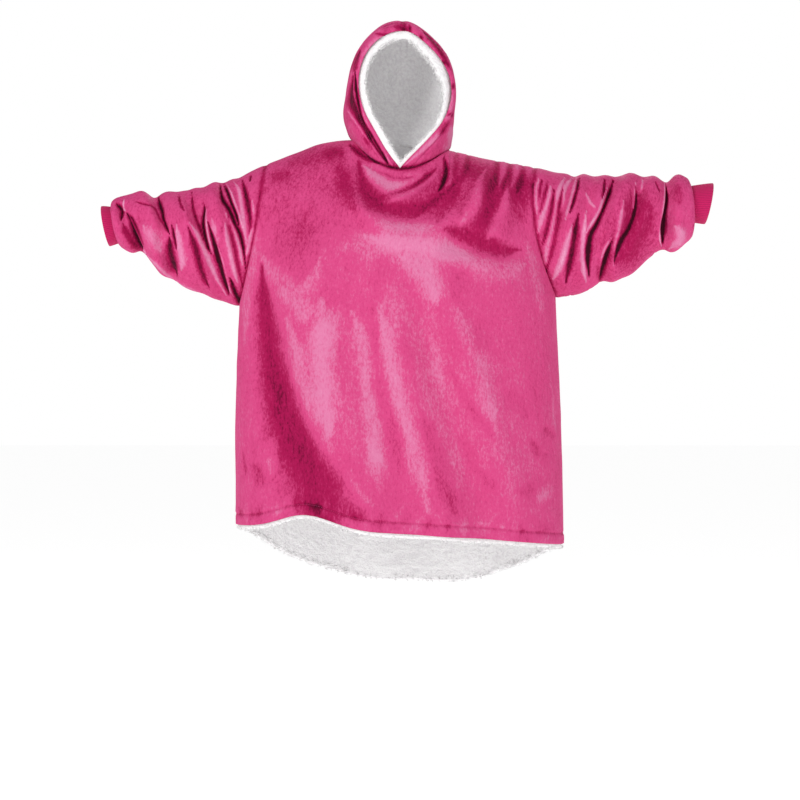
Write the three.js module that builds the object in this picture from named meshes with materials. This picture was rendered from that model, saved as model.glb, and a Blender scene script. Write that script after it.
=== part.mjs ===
// Wearable blanket hoodie in its worn form: hood up, both arms held out, nothing inside.
// Millimetres. +Z is up, the front faces -Y, and the left sleeve points along +X.
// The origin is between the shoulders at the base of the neck, where the garment is carried.
import * as THREE from "three";

const { lerp, clamp, smoothstep } = THREE.MathUtils;

// Cloth
const FLANNEL = 2; // plush outer cloth
const BODY_SHERPA = 8; // curly pile that lines the body
const HOOD_SHERPA = 13; // deeper pile that lines the hood
const KNIT = 2.4; // ribbed cuff
const SEAM_GAP = 0.3; // between the edges of two pieces, and between a lining and its panel
const SEAM_PULL = 0.18; // how far each edge at a seam is drawn back to leave that gap
const FOLDED_PULL = 0.34; // the same where the two edges are folded on each other, at the cuffs
const SAME_POINT = 0.02; // points closer than this are one point of a seam
const BAND = 23; // turned hem, from the edge to its stitch line
const STITCH_DEPTH = 2.2; // how far the stitch line pulls the plush in
const LINING_PEEP = 5; // how far the pile shows below the turned hem

// Body: one entry for each side, as {out, z} points on the outline seen from the front. swell is
// how far the shoulder seam bows up, and hollow how far the armhole seam curves in.
const SIDES = {
  right: {
    sign: -1,
    neckZ: 20,
    swell: 12,
    hollow: 9,
    shoulder: { out: 308, z: -36 },
    armpit: { out: 368, z: -360 },
    waist: { out: 377, z: -610 },
    hem: { out: 376, z: -861 },
  },
  left: {
    sign: 1,
    neckZ: -3,
    swell: -3,
    hollow: 26,
    shoulder: { out: 309, z: -42 },
    armpit: { out: 356, z: -340 },
    waist: { out: 369, z: -633 },
    hem: { out: 375, z: -906 },
  },
};
const NECK = { share: 0.36, front: 112, frontZ: -57, back: 100, backZ: 26 };
const SHOULDER_ROUND = 100; // how far below the shoulder seam the cloth turns straight down
const CHEST_ROUND = 175; // the same below the neckline, over the chest and back
const ARM_DEPTH = 88; // half the armhole's width from front to back
const ARM_SKEW = 0.22; // how much wider the armhole is around the arm than at its foot

// How far the cloth stands in front of and behind the side seams, by height
const DEPTHS = [
  { z: 30, front: 112, back: 100 },
  { z: -60, front: 122, back: 112 },
  { z: -150, front: 160, back: 138 },
  { z: -260, front: 190, back: 160 },
  { z: -450, front: 197, back: 188 },
  { z: -700, front: 202, back: 210 },
  { z: -1010, front: 208, back: 226 },
];
const PLAN_POWERS = { across: 2.4, out: 2.2 }; // roundness of the body seen from above
const FRONT_LIFT = 13; // the front hem is this much higher in the middle than at the sides
const BACK_DROP = 120; // the back hem is this much lower
const HEM_RISES = [{ face: -1, at: -0.56, width: 0.23, rise: 30 }];

// Long folds of the body, as lines on the front view: positive depths stand out
const FOLDS = [
  { face: -1, x0: -250, z0: -190, x1: -60, z1: -900, width: 62, depth: 20 },
  { face: -1, x0: -322, z0: -230, x1: -225, z1: -900, width: 46, depth: -20 },
  { face: -1, x0: -40, z0: -290, x1: 110, z1: -900, width: 40, depth: 15 },
  { face: -1, x0: 30, z0: -330, x1: 185, z1: -860, width: 34, depth: -13 },
  { face: -1, x0: 90, z0: -300, x1: 262, z1: -800, width: 40, depth: 12 },
  { face: -1, x0: 196, z0: -40, x1: 176, z1: -190, width: 24, depth: 9 },
  { face: -1, x0: 250, z0: -60, x1: 226, z1: -230, width: 24, depth: 9 },
  { face: -1, x0: 300, z0: -250, x1: 120, z1: -235, width: 26, depth: -15 },
  { face: 1, x0: -250, z0: -150, x1: -150, z1: -1000, width: 60, depth: 20 },
  { face: 1, x0: -120, z0: -170, x1: -40, z1: -1000, width: 50, depth: -18 },
  { face: 1, x0: -20, z0: -140, x1: 50, z1: -1000, width: 50, depth: 18 },
  { face: 1, x0: 110, z0: -190, x1: 150, z1: -980, width: 46, depth: -18 },
  { face: 1, x0: 230, z0: -150, x1: 240, z1: -950, width: 56, depth: 20 },
];
// Cowl folds that hang from the neckline: span is half the width, rise the height of the ends
const COWLS = [
  { face: -1, x: 5, z: -132, span: 90, rise: 80, width: 22, depth: 9 },
  { face: -1, x: 30, z: -215, span: 175, rise: 130, width: 30, depth: 11 },
  { face: 1, x: 0, z: -120, span: 120, rise: 70, width: 26, depth: 8 },
];

// Sleeve rings from the armhole to the cuff. out is the ring's middle, deep half its width from
// front to back, and lean how much further out its foot is than its top.
const SLEEVE_RINGS = {
  left: [
    { out: 375, top: -55, low: -336, deep: 92, lean: 30, skew: 0.2 },
    { out: 425, top: -59, low: -322, deep: 90, lean: 18, skew: 0.2 },
    { out: 480, top: -62, low: -302, deep: 86, lean: 8, skew: 0.18 },
    { out: 535, top: -58, low: -283, deep: 80, lean: 0, skew: 0.15 },
    { out: 578, top: -64, low: -246, deep: 71, lean: -6, skew: 0.1 },
    { out: 602, top: -72, low: -233, deep: 64, lean: -8, skew: 0.05 },
    { out: 632, top: -63, low: -233, deep: 66, lean: -8, skew: 0 },
    { out: 658, top: -67, low: -214, deep: 62, lean: 0, skew: 0 },
    { out: 669, top: -75, low: -195, deep: 52, lean: 8, skew: 0 },
    { out: 668, top: -84, low: -165, deep: 41, lean: -2, skew: 0 },
  ],
  right: [
    { out: 385, top: -62, low: -350, deep: 92, lean: 40, skew: 0.2 },
    { out: 435, top: -78, low: -332, deep: 90, lean: 24, skew: 0.2 },
    { out: 490, top: -94, low: -316, deep: 86, lean: 12, skew: 0.18 },
    { out: 540, top: -101, low: -290, deep: 78, lean: 4, skew: 0.15 },
    { out: 574, top: -106, low: -256, deep: 70, lean: 0, skew: 0.1 },
    { out: 600, top: -101, low: -236, deep: 65, lean: -2, skew: 0.05 },
    { out: 628, top: -107, low: -231, deep: 62, lean: -10, skew: 0 },
    { out: 647, top: -115, low: -224, deep: 56, lean: -18, skew: 0 },
    { out: 655, top: -125, low: -218, deep: 47, lean: -18, skew: 0 },
    { out: 652, top: -133, low: -213, deep: 39, lean: -17, skew: 0 },
  ],
};
const CUFF_RINGS = {
  left: [
    { out: 690, top: -80, low: -168, deep: 42, lean: -13, skew: 0 },
    { out: 712, top: -77, low: -171, deep: 43, lean: -18, skew: 0 },
  ],
  right: [
    { out: 665, top: -131, low: -217, deep: 41, lean: -18, skew: 0 },
    { out: 679, top: -130, low: -222, deep: 43, lean: -18, skew: 0 },
  ],
};

// Creases of the sleeves. A crease runs from share down0 of the ring's height at out0 to down1
// at out1, 0 being the top, and bow moves its middle outward.
const CREASES = {
  left: [
    { face: -1, out0: 401, down0: 0, out1: 350, down1: 0.55, bow: -4, width: 13, depth: 11 },
    { face: -1, out0: 436, down0: 0.02, out1: 392, down1: 0.95, bow: 4, width: 15, depth: 9 },
    { face: -1, out0: 494, down0: 0, out1: 446, down1: 0.95, bow: -14, width: 16, depth: 15 },
    { face: -1, out0: 553, down0: 0, out1: 492, down1: 0.85, bow: 8, width: 15, depth: 13 },
    { face: -1, out0: 489, down0: 0.6, out1: 466, down1: 1, bow: -6, width: 14, depth: 13 },
    { face: -1, out0: 619, down0: 0, out1: 612, down1: 0.95, bow: -5, width: 13, depth: 15 },
    { face: 1, out0: 404, down0: 0, out1: 366, down1: 0.6, bow: 4, width: 15, depth: 11 },
    { face: 1, out0: 452, down0: 0, out1: 410, down1: 0.9, bow: -8, width: 17, depth: 13 },
    { face: 1, out0: 512, down0: 0, out1: 470, down1: 1, bow: 8, width: 16, depth: 14 },
    { face: 1, out0: 566, down0: 0, out1: 530, down1: 0.8, bow: -6, width: 15, depth: 12 },
    { face: 1, out0: 619, down0: 0, out1: 612, down1: 0.95, bow: 3, width: 13, depth: 14 },
  ],
  right: [
    { face: -1, out0: 372, down0: 0, out1: 346, down1: 0.5, bow: 2, width: 13, depth: 10 },
    { face: -1, out0: 409, down0: 0, out1: 352, down1: 0.7, bow: 4, width: 14, depth: 14 },
    { face: -1, out0: 486, down0: 0, out1: 455, down1: 0.42, bow: 5, width: 13, depth: 10 },
    { face: -1, out0: 455, down0: 0.2, out1: 404, down1: 0.95, bow: 12, width: 16, depth: 15 },
    { face: -1, out0: 565, down0: 0, out1: 530, down1: 0.55, bow: -3, width: 14, depth: 14 },
    { face: -1, out0: 540, down0: 0.52, out1: 516, down1: 1, bow: 8, width: 15, depth: 13 },
    { face: -1, out0: 636, down0: 0.22, out1: 592, down1: 1, bow: 5, width: 15, depth: 14 },
    { face: 1, out0: 400, down0: 0, out1: 362, down1: 0.6, bow: 4, width: 15, depth: 11 },
    { face: 1, out0: 450, down0: 0, out1: 405, down1: 0.9, bow: -6, width: 17, depth: 14 },
    { face: 1, out0: 510, down0: 0, out1: 470, down1: 0.7, bow: 8, width: 15, depth: 12 },
    { face: 1, out0: 565, down0: 0, out1: 530, down1: 1, bow: -6, width: 15, depth: 14 },
    { face: 1, out0: 620, down0: 0.1, out1: 596, down1: 0.95, bow: 4, width: 14, depth: 12 },
  ],
};
const TOP_SHARE = 0.45; // share of a crease's depth left where it crosses the sleeve's top
const RIDGE = { shift: 1.7, width: 1.3, share: 0.55 }; // the roll of cloth beside each crease

// Hood, as rows up its height: half the width of the face opening on each side, how far forward
// the opening and how far back the crown lies, and how full each half is past the opening
const FACE_HEIGHT = 319;
const HOOD_ROWS = [
  { up: 0, right: 0, left: 0, faceY: -112, backY: 100, fullRight: 112, fullLeft: 112 },
  { up: 0.2, right: 53, left: 52, faceY: -102, backY: 133, fullRight: 91, fullLeft: 80 },
  { up: 0.4, right: 94, left: 95, faceY: -93, backY: 163, fullRight: 54, fullLeft: 42 },
  { up: 0.6, right: 114, left: 113, faceY: -86, backY: 172, fullRight: 32, fullLeft: 27 },
  { up: 0.8, right: 121, left: 106, faceY: -78, backY: 155, fullRight: 20, fullLeft: 30 },
  { up: 1, right: 120, left: 70, faceY: -70, backY: 118, fullRight: 12, fullLeft: 32 },
];
const CROWN_ROUND = 4; // power that rounds the opening and the crown off at the top
const CROWN = { backZ: 238, arch: 44 }; // centre seam: its height at the back, and its arch
const HOOD_TURN = 0.11; // radians that the face opening is turned towards the left sleeve
const HOOD_TURN_CENTRE_Y = 20;

// Grid sizes
const SIDE_COLUMNS = 9; // from the side seam to the neck, on each side of a panel
const NECK_COLUMNS = 8; // across the neckline of a panel
const LOW_ROWS = 10; // from the hem to the armpit
const ARM_ROWS = 10; // from the armpit to the shoulder
const SLEEVE_STEPS = 34;
const CUFF_STEPS = 4;
const HOOD_COLUMNS = NECK_COLUMNS;
const HOOD_ROW_COUNT = 12;

const sideOf = (across) => (across < 0 ? SIDES.right : SIDES.left);

// A smooth curve through one column of a table, at a place given in another column.
function tableAt(rows, key, at, place) {
  const last = rows.length - 1;
  const rising = rows[last][place] > rows[0][place];
  const behind = (row) => (rising ? at < row[place] : at > row[place]);
  let i = rows.slice(1, last).findIndex(behind);
  i = i < 0 ? last - 1 : i;
  const slope = (k) => {
    const [a, b] = [rows[Math.max(k - 1, 0)], rows[Math.min(k + 1, last)]];
    return (b[key] - a[key]) / (b[place] - a[place]);
  };
  const span = rows[i + 1][place] - rows[i][place];
  const t = clamp((at - rows[i][place]) / span, 0, 1);
  const [t2, t3] = [t * t, t * t * t];
  return (
    (2 * t3 - 3 * t2 + 1) * rows[i][key] +
    (t3 - 2 * t2 + t) * span * slope(i) +
    (3 * t2 - 2 * t3) * rows[i + 1][key] +
    (t3 - t2) * span * slope(i + 1)
  );
}

// Half-width of a ring at share g of its height: an ellipse that is fuller towards the top.
const ringHalf = (g, skew) => Math.sqrt(Math.max(4 * g * (1 - g), 0)) * (1 + skew * (2 * g - 1));
// Share of a ring's height at share t of the way round from its foot to its top.
const ringShare = (t) => (t + (1 - Math.cos(Math.PI * t)) / 2) / 2;

// Body

// The panel's outline, as a distance from the middle, at height z on one side.
function outlineOut(side, z) {
  if (z > side.armpit.z) {
    const g = (z - side.armpit.z) / (side.shoulder.z - side.armpit.z);
    return lerp(side.armpit.out, side.shoulder.out, g) - side.hollow * Math.sin(Math.PI * g);
  }
  const rows = [side.armpit, side.waist, side.hem];
  return tableAt(rows, "out", z, "z");
}

// The top edge of a panel at share `across` of its half-width: neckline or shoulder seam.
function topEdge(face, across) {
  const side = sideOf(across);
  const share = Math.abs(across);
  if (share >= NECK.share) {
    const k = (share - NECK.share) / (1 - NECK.share);
    const bow = side.swell * Math.sin(Math.PI * k) * (1 + 0.4 * Math.cos(Math.PI * k));
    return { y: 0, z: lerp(side.neckZ, side.shoulder.z, k) + bow, round: SHOULDER_ROUND };
  }
  const middle = face < 0 ? { y: NECK.front, z: NECK.frontZ } : { y: NECK.back, z: NECK.backZ };
  const inward = 1 - (share / NECK.share) ** 2;
  return {
    y: middle.y * Math.sqrt(inward),
    z: lerp(side.neckZ, middle.z, inward),
    round: lerp(SHOULDER_ROUND, CHEST_ROUND, inward),
  };
}

function hemHeight(face, across) {
  const side = lerp(SIDES.right.hem.z, SIDES.left.hem.z, (across + 1) / 2);
  const share = Math.abs(across);
  let z = side + (face < 0 ? FRONT_LIFT * (1 - share ** 2.5) : -BACK_DROP * (1 - share ** 2.7));
  for (const wave of HEM_RISES)
    if (wave.face === face)
      z += wave.rise * Math.exp(-(((across - wave.at) / wave.width) ** 2)) * (1 - share ** 6);
  return z;
}

// How far the folds push a panel out at a point of the front view.
function foldHeight(face, x, z) {
  let height = 0;
  for (const f of FOLDS) {
    if (f.face !== face) continue;
    const along = { x: f.x1 - f.x0, z: f.z1 - f.z0 };
    const length = Math.hypot(along.x, along.z);
    const t = ((x - f.x0) * along.x + (z - f.z0) * along.z) / length ** 2;
    const off = ((x - f.x0) * along.z - (z - f.z0) * along.x) / length;
    const fade = smoothstep(t, -0.1, 0.35) * (1 - smoothstep(t, 0.95, 1.25));
    height += f.depth * fade * Math.exp(-((off / f.width) ** 2));
  }
  for (const c of COWLS) {
    if (c.face !== face) continue;
    const share = (x - c.x) / c.span;
    const off = z - c.z - c.rise * share ** 2;
    height += c.depth * Math.exp(-((off / c.width) ** 2)) * (1 - smoothstep(Math.abs(share), 0.7, 1.1));
  }
  return height;
}

// Rows run from the hem (0) to the armpit (LOW_ROWS) and on to the top edge.
function rowHeight(face, across, row) {
  const hem = hemHeight(face, across);
  const armpit = lerp(SIDES.right.armpit.z, SIDES.left.armpit.z, (across + 1) / 2);
  if (row === 0) return hem;
  if (row <= LOW_ROWS) return lerp(hem + BAND, armpit, (row - 1) / (LOW_ROWS - 1));
  const top = topEdge(face, across).z;
  return lerp(armpit, top, ringShare((row - LOW_ROWS) / ARM_ROWS));
}

function bodyPoint(face, across, row) {
  const side = sideOf(across);
  const share = Math.abs(across);
  const z = rowHeight(face, across, row);
  const x = across * outlineOut(side, z);
  const top = topEdge(face, across);
  const below = clamp((top.z - z) / top.round, 0, 1);
  const turned = Math.sqrt(1 - (1 - below) ** 2);
  const plan = (1 - share ** PLAN_POWERS.across) ** (1 / PLAN_POWERS.out);
  const middle = turned * plan * tableAt(DEPTHS, face < 0 ? "front" : "back", z, "z");
  const g = ringShare(clamp((row - LOW_ROWS) / ARM_ROWS, 0, 1));
  const edge = ARM_DEPTH * ringHalf(g, ARM_SKEW) * share ** 4;
  const free = (1 - share ** 6) * smoothstep(top.z - z, 0, 70);
  const fold = foldHeight(face, x, z) * free - (row === 1 ? STITCH_DEPTH : 0) * (1 - share ** 6);
  const y = top.y * (1 - turned) + Math.hypot(middle, edge) + fold;
  return new THREE.Vector3(x, face * y, z);
}

// Shares of the half-width at which the panel's columns lie, from right to left.
function columnShares() {
  const half = [];
  for (let k = SIDE_COLUMNS; k > 0; k--) {
    const t = k / SIDE_COLUMNS;
    half.push(lerp(NECK.share, 1, (t + Math.sin((t * Math.PI) / 2)) / 2));
  }
  for (let k = 0; k <= NECK_COLUMNS / 2; k++)
    half.push(NECK.share * Math.cos((k / NECK_COLUMNS) * Math.PI));
  half[half.length - 1] = 0;
  const mirrored = half.slice(0, -1).reverse();
  return [...half.map((s) => -s), ...mirrored];
}

const bodyPanel = (face) => {
  const shares = columnShares();
  return surface(shares.length - 1, LOW_ROWS + ARM_ROWS, (i, j) => bodyPoint(face, shares[i], j));
};

// Sleeves and cuffs

// The armhole is the panels' own outer edge, from the armpit over the front to the shoulder
// and down the back.
function armholePoint(side, k) {
  const front = k <= ARM_ROWS;
  const row = LOW_ROWS + (front ? k : 2 * ARM_ROWS - k);
  return bodyPoint(front ? -1 : 1, side.sign, row);
}

function ringPoint(side, ring, k, push) {
  const front = k <= ARM_ROWS;
  const t = front ? k / ARM_ROWS : 2 - k / ARM_ROWS;
  const g = ringShare(t);
  const half = (ring.top - ring.low) / 2;
  const y = (front ? -1 : 1) * ring.deep * ringHalf(g, ring.skew);
  const z = lerp(ring.low, ring.top, g);
  const away = new THREE.Vector2(y / ring.deep ** 2, (z - ring.low - half) / half ** 2).normalize();
  const out = ring.out + ring.lean * (0.5 - g);
  const raise = push ? push(out, 1 - g, front ? -1 : 1) : 0;
  return new THREE.Vector3(side.sign * out, y + away.x * raise, z + away.y * raise);
}

// The creases' depth at a place of the sleeve: a trough with a roll of cloth on its outer side.
function creaseHeight(creases, out, down, face) {
  let height = 0;
  for (const c of creases) {
    const t = (down - c.down0) / (c.down1 - c.down0);
    const ends = smoothstep(t, -0.15, 0.1) * (1 - smoothstep(t, 0.75, 1.15));
    const own = lerp(TOP_SHARE, 1, smoothstep(down, 0, 0.2));
    const beyond = TOP_SHARE * (1 - smoothstep(down, 0, 0.12));
    const crossing = c.face === face ? own : beyond;
    const inside = clamp(t, 0, 1);
    const off = (out - lerp(c.out0, c.out1, inside) - c.bow * 4 * inside * (1 - inside)) / c.width;
    const roll = RIDGE.share * Math.exp(-(((off - RIDGE.shift) / RIDGE.width) ** 2));
    height += c.depth * ends * crossing * (roll - Math.exp(-(off ** 2)));
  }
  return height;
}

// A ring of the table at share t along its rows.
function ringAt(rows, t) {
  const numbered = rows.map((row, index) => ({ ...row, index }));
  const at = t * (rows.length - 1);
  const ring = {};
  for (const key of ["out", "top", "low", "deep", "lean", "skew"])
    ring[key] = tableAt(numbered, key, at, "index");
  return ring;
}

function armholeRing(side) {
  const { shoulder, armpit } = side;
  return {
    out: (shoulder.out + armpit.out) / 2,
    top: shoulder.z,
    low: armpit.z,
    deep: ARM_DEPTH,
    lean: armpit.out - shoulder.out,
    skew: ARM_SKEW,
  };
}

function sleeve(name) {
  const side = SIDES[name];
  const rows = [armholeRing(side), ...SLEEVE_RINGS[name]];
  const push = (t) => (out, down, face) => {
    const free = smoothstep(t, 0, 0.06) * (1 - smoothstep(t, 0.88, 0.97));
    return creaseHeight(CREASES[name], out, down, face) * free;
  };
  const pointAt = (i, j) => {
    if (j === 0) return armholePoint(side, i);
    const t = j / SLEEVE_STEPS;
    return ringPoint(side, ringAt(rows, t), i, push(t));
  };
  return surface(2 * ARM_ROWS, SLEEVE_STEPS, pointAt, true);
}

function cuff(name) {
  const rows = [SLEEVE_RINGS[name].at(-1), ...CUFF_RINGS[name]];
  const pointAt = (i, j) => ringPoint(SIDES[name], ringAt(rows, j / CUFF_STEPS), i);
  return surface(2 * ARM_ROWS, CUFF_STEPS, pointAt, true);
}

// Hood

// A point of the neckline, from the middle of the front (0) round one side to the back (1).
function necklinePoint(side, k) {
  const front = k <= NECK_COLUMNS / 2;
  const shares = columnShares();
  const middle = SIDE_COLUMNS + NECK_COLUMNS / 2;
  const steps = front ? k : NECK_COLUMNS - k;
  return bodyPoint(front ? -1 : 1, shares[middle + side.sign * steps], LOW_ROWS + ARM_ROWS);
}

function hoodPoint(side, i, j) {
  const base = necklinePoint(side, i);
  if (j === 0) return base;
  const up = Math.sin((j / HOOD_ROW_COUNT) * (Math.PI / 2)) ** 1.2;
  const back = i / HOOD_COLUMNS;
  const angle = (back * Math.PI) / 2;
  const row = (key) => tableAt(HOOD_ROWS, key, up, "up");
  const closing = Math.sqrt(Math.max(1 - up ** CROWN_ROUND, 0));
  const [half, full] = side.sign < 0 ? ["right", "fullRight"] : ["left", "fullLeft"];
  const x = (row(half) * Math.cos(angle) + row(full) * Math.sin(2 * angle)) * closing;
  const y = row("faceY") + (row("backY") - row("faceY")) * Math.sin(angle) ** 2;
  const faceTop = NECK.frontZ + FACE_HEIGHT;
  const seamZ = lerp(faceTop, CROWN.backZ, back) + CROWN.arch * Math.sin(Math.PI * back);
  const z = lerp(base.z, seamZ, up);
  const turn = HOOD_TURN * smoothstep(up, 0, 0.35);
  const centred = i === HOOD_COLUMNS || j === HOOD_ROW_COUNT ? 0 : x * side.sign;
  const point = new THREE.Vector2(centred, y);
  point.rotateAround(new THREE.Vector2(0, HOOD_TURN_CENTRE_Y), turn);
  return new THREE.Vector3(point.x, point.y, z);
}

const hoodHalf = (name) =>
  surface(HOOD_COLUMNS, HOOD_ROW_COUNT, (i, j) => hoodPoint(SIDES[name], i, j));

// Cloth surfaces and walls

// A grid of points on the outside of the cloth. A closed one is a tube, whose first and last
// columns are the same points.
function surface(columns, rows, pointAt, closed = false) {
  const points = [];
  for (let j = 0; j <= rows; j++)
    for (let i = 0; i <= columns; i++) points.push(pointAt(closed ? i % columns : i, j));
  return { columns, rows, closed, points, normals: [] };
}

const indexOf = (s, i, j) => j * (s.columns + 1) + i;

// Triangles of a grid, each quad cut along its shorter diagonal.
function gridTriangles(s) {
  const triangles = [];
  for (let j = 0; j < s.rows; j++)
    for (let i = 0; i < s.columns; i++) {
      const [a, b, c, d] = [
        indexOf(s, i, j),
        indexOf(s, i + 1, j),
        indexOf(s, i + 1, j + 1),
        indexOf(s, i, j + 1),
      ];
      const p = s.points;
      if (p[a].distanceTo(p[c]) < p[b].distanceTo(p[d])) triangles.push([a, b, c], [a, c, d]);
      else triangles.push([a, b, d], [b, c, d]);
    }
  return triangles;
}

// Gives each point the average direction that the cloth faces there, over every piece that
// meets in the point, so that the walls of two pieces are mitred alike at their seam.
function addNormals(pieces) {
  const sums = new Map();
  const keyOf = (p) => p.toArray().map((v) => Math.round(v / SAME_POINT)).join();
  for (const { s, flip } of pieces)
    for (const [a, b, c] of gridTriangles(s)) {
      const [pa, pb, pc] = [s.points[a], s.points[b], s.points[c]];
      const normal = pb.clone().sub(pa).cross(pc.clone().sub(pa)).multiplyScalar(flip);
      for (const p of [pa, pb, pc]) {
        const key = keyOf(p);
        if (!sums.has(key)) sums.set(key, new THREE.Vector3());
        sums.get(key).add(normal);
      }
    }
  for (const { s } of pieces) s.normals = s.points.map((p) => sums.get(keyOf(p)).clone().normalize());
}

// A point moved in from the cloth's outside by a distance, and back from the seams at its edges.
function insetPoint(s, i, j, depth, seams) {
  const at = indexOf(s, i, j);
  const point = s.points[at].clone().addScaledVector(s.normals[at], -depth);
  const pull = (ni, nj, distance) => {
    const to = s.points[indexOf(s, ni, nj)].clone().sub(s.points[at]);
    to.addScaledVector(s.normals[at], -to.dot(s.normals[at])).setLength(distance);
    point.add(to);
  };
  if (seams.left && i === 0) pull(1, j, seams.left);
  if (seams.right && i === s.columns) pull(s.columns - 1, j, seams.right);
  if (seams.bottom && j === 0) pull(i, 1, seams.bottom);
  if (seams.top && j === s.rows) pull(i, s.rows - 1, seams.top);
  return point;
}

// A closed wall between two depths under a surface, over the rows from firstRow to lastRow.
function wall(s, flip, from, to, seams, rowRange = [0, s.rows], drop = () => 0) {
  const [firstRow, lastRow] = rowRange;
  const wide = s.closed ? s.columns : s.columns + 1;
  const tall = lastRow - firstRow + 1;
  const positions = [];
  for (const depth of [from, to])
    for (let j = firstRow; j <= lastRow; j++)
      for (let i = 0; i < wide; i++) {
        const p = insetPoint(s, i, j, depth, seams);
        positions.push(p.x, p.y, p.z - drop(j));
      }
  const at = (layer, i, j) => (layer * tall + (j - firstRow)) * wide + (i % wide);
  const index = [];
  const face = (a, b, c) => index.push(...(flip > 0 ? [a, b, c] : [a, c, b]));
  for (const triangle of gridTriangles(s)) {
    const cells = triangle.map((v) => [v % (s.columns + 1), Math.floor(v / (s.columns + 1))]);
    if (cells.some(([, j]) => j < firstRow || j > lastRow)) continue;
    const [a, b, c] = cells;
    face(at(0, ...a), at(0, ...b), at(0, ...c));
    face(at(1, ...a), at(1, ...c), at(1, ...b));
  }
  // Both pieces at a seam cut their edge's strips the same way, from the lower of two points.
  const rim = (p, q) => {
    const [a, b, c, d] = [at(0, ...q), at(0, ...p), at(1, ...p), at(1, ...q)];
    if (s.points[indexOf(s, ...q)].z < s.points[indexOf(s, ...p)].z) {
      face(a, b, c);
      face(a, c, d);
    } else {
      face(a, b, d);
      face(b, c, d);
    }
  };
  for (let i = 0; i < s.columns; i++) {
    rim([i, firstRow], [i + 1, firstRow]);
    rim([i + 1, lastRow], [i, lastRow]);
  }
  for (let j = firstRow; j < lastRow && !s.closed; j++) {
    rim([0, j + 1], [0, j]);
    rim([s.columns, j], [s.columns, j + 1]);
  }
  const geometry = new THREE.BufferGeometry();
  geometry.setAttribute("position", new THREE.Float32BufferAttribute(positions, 3));
  geometry.setIndex(index);
  geometry.computeVertexNormals();
  return geometry;
}

const MATERIALS = {
  flannel: new THREE.MeshStandardMaterial({ color: 0xcf3a7d, roughness: 0.62, side: THREE.DoubleSide }),
  knit: new THREE.MeshStandardMaterial({ color: 0xb32561, roughness: 0.85, side: THREE.DoubleSide }),
  sherpa: new THREE.MeshStandardMaterial({ color: 0xf1f0ee, roughness: 0.95, side: THREE.DoubleSide }),
};

function build() {
  // flip is 1 where the grid's own winding already faces out of the garment
  const panels = {
    front: { s: bodyPanel(-1), flip: 1 },
    back: { s: bodyPanel(1), flip: -1 },
    sleeve_left: { s: sleeve("left"), flip: -1 },
    sleeve_right: { s: sleeve("right"), flip: 1 },
    cuff_left: { s: cuff("left"), flip: -1 },
    cuff_right: { s: cuff("right"), flip: 1 },
    hood_left: { s: hoodHalf("left"), flip: 1 },
    hood_right: { s: hoodHalf("right"), flip: -1 },
  };
  addNormals(Object.values(panels));

  // How far each sewn edge is drawn back. Hems, cuffs' ends and the hood's face are not sewn on.
  const bodySeams = { left: SEAM_PULL, right: SEAM_PULL, top: SEAM_PULL };
  const tubeSeams = { bottom: SEAM_PULL, top: FOLDED_PULL };
  const cuffSeams = { bottom: FOLDED_PULL };
  const hoodSeams = { bottom: SEAM_PULL, right: SEAM_PULL, top: SEAM_PULL };
  const lined = FLANNEL + SEAM_GAP;
  const lowRows = [0, LOW_ROWS];
  const allRows = [0, LOW_ROWS + ARM_ROWS];
  const hemEdge = (j) => (j === 0 ? LINING_PEEP : 0);
  const pieces = [
    ["front_panel", "flannel", "front", 0, FLANNEL, bodySeams],
    ["back_panel", "flannel", "back", 0, FLANNEL, bodySeams],
    ["front_lining", "sherpa", "front", lined, lined + BODY_SHERPA, bodySeams, lowRows, hemEdge],
    ["back_lining", "sherpa", "back", lined, lined + BODY_SHERPA, bodySeams, allRows, hemEdge],
    ["sleeve_left", "flannel", "sleeve_left", 0, FLANNEL, tubeSeams],
    ["sleeve_right", "flannel", "sleeve_right", 0, FLANNEL, tubeSeams],
    ["cuff_left", "knit", "cuff_left", 0, KNIT, cuffSeams],
    ["cuff_right", "knit", "cuff_right", 0, KNIT, cuffSeams],
    ["hood_left", "flannel", "hood_left", 0, FLANNEL, hoodSeams],
    ["hood_right", "flannel", "hood_right", 0, FLANNEL, hoodSeams],
    ["hood_lining_left", "sherpa", "hood_left", lined, lined + HOOD_SHERPA, hoodSeams],
    ["hood_lining_right", "sherpa", "hood_right", lined, lined + HOOD_SHERPA, hoodSeams],
  ];
  const garment = new THREE.Group();
  for (const [name, cloth, panel, from, to, seams, rows, drop] of pieces) {
    const { s, flip } = panels[panel];
    const mesh = new THREE.Mesh(wall(s, flip, from, to, seams, rows, drop), MATERIALS[cloth]);
    mesh.name = name;
    garment.add(mesh);
  }
  return garment;
}

export default build();
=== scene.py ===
# %% [markdown]
# A wearable blanket hoodie, kept in the shape it has when it is worn: hood up and both sleeves
# stretched out. The real one is cut from plush flannel, lined with curly sherpa, and ends in
# ribbed knit cuffs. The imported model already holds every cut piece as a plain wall. This lesson
# makes each piece again as a fine surface on the same form, and adds what only shows up close:
# creases, nap, pile, ribs and stitches.

# %% Load the frame
import math

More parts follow.
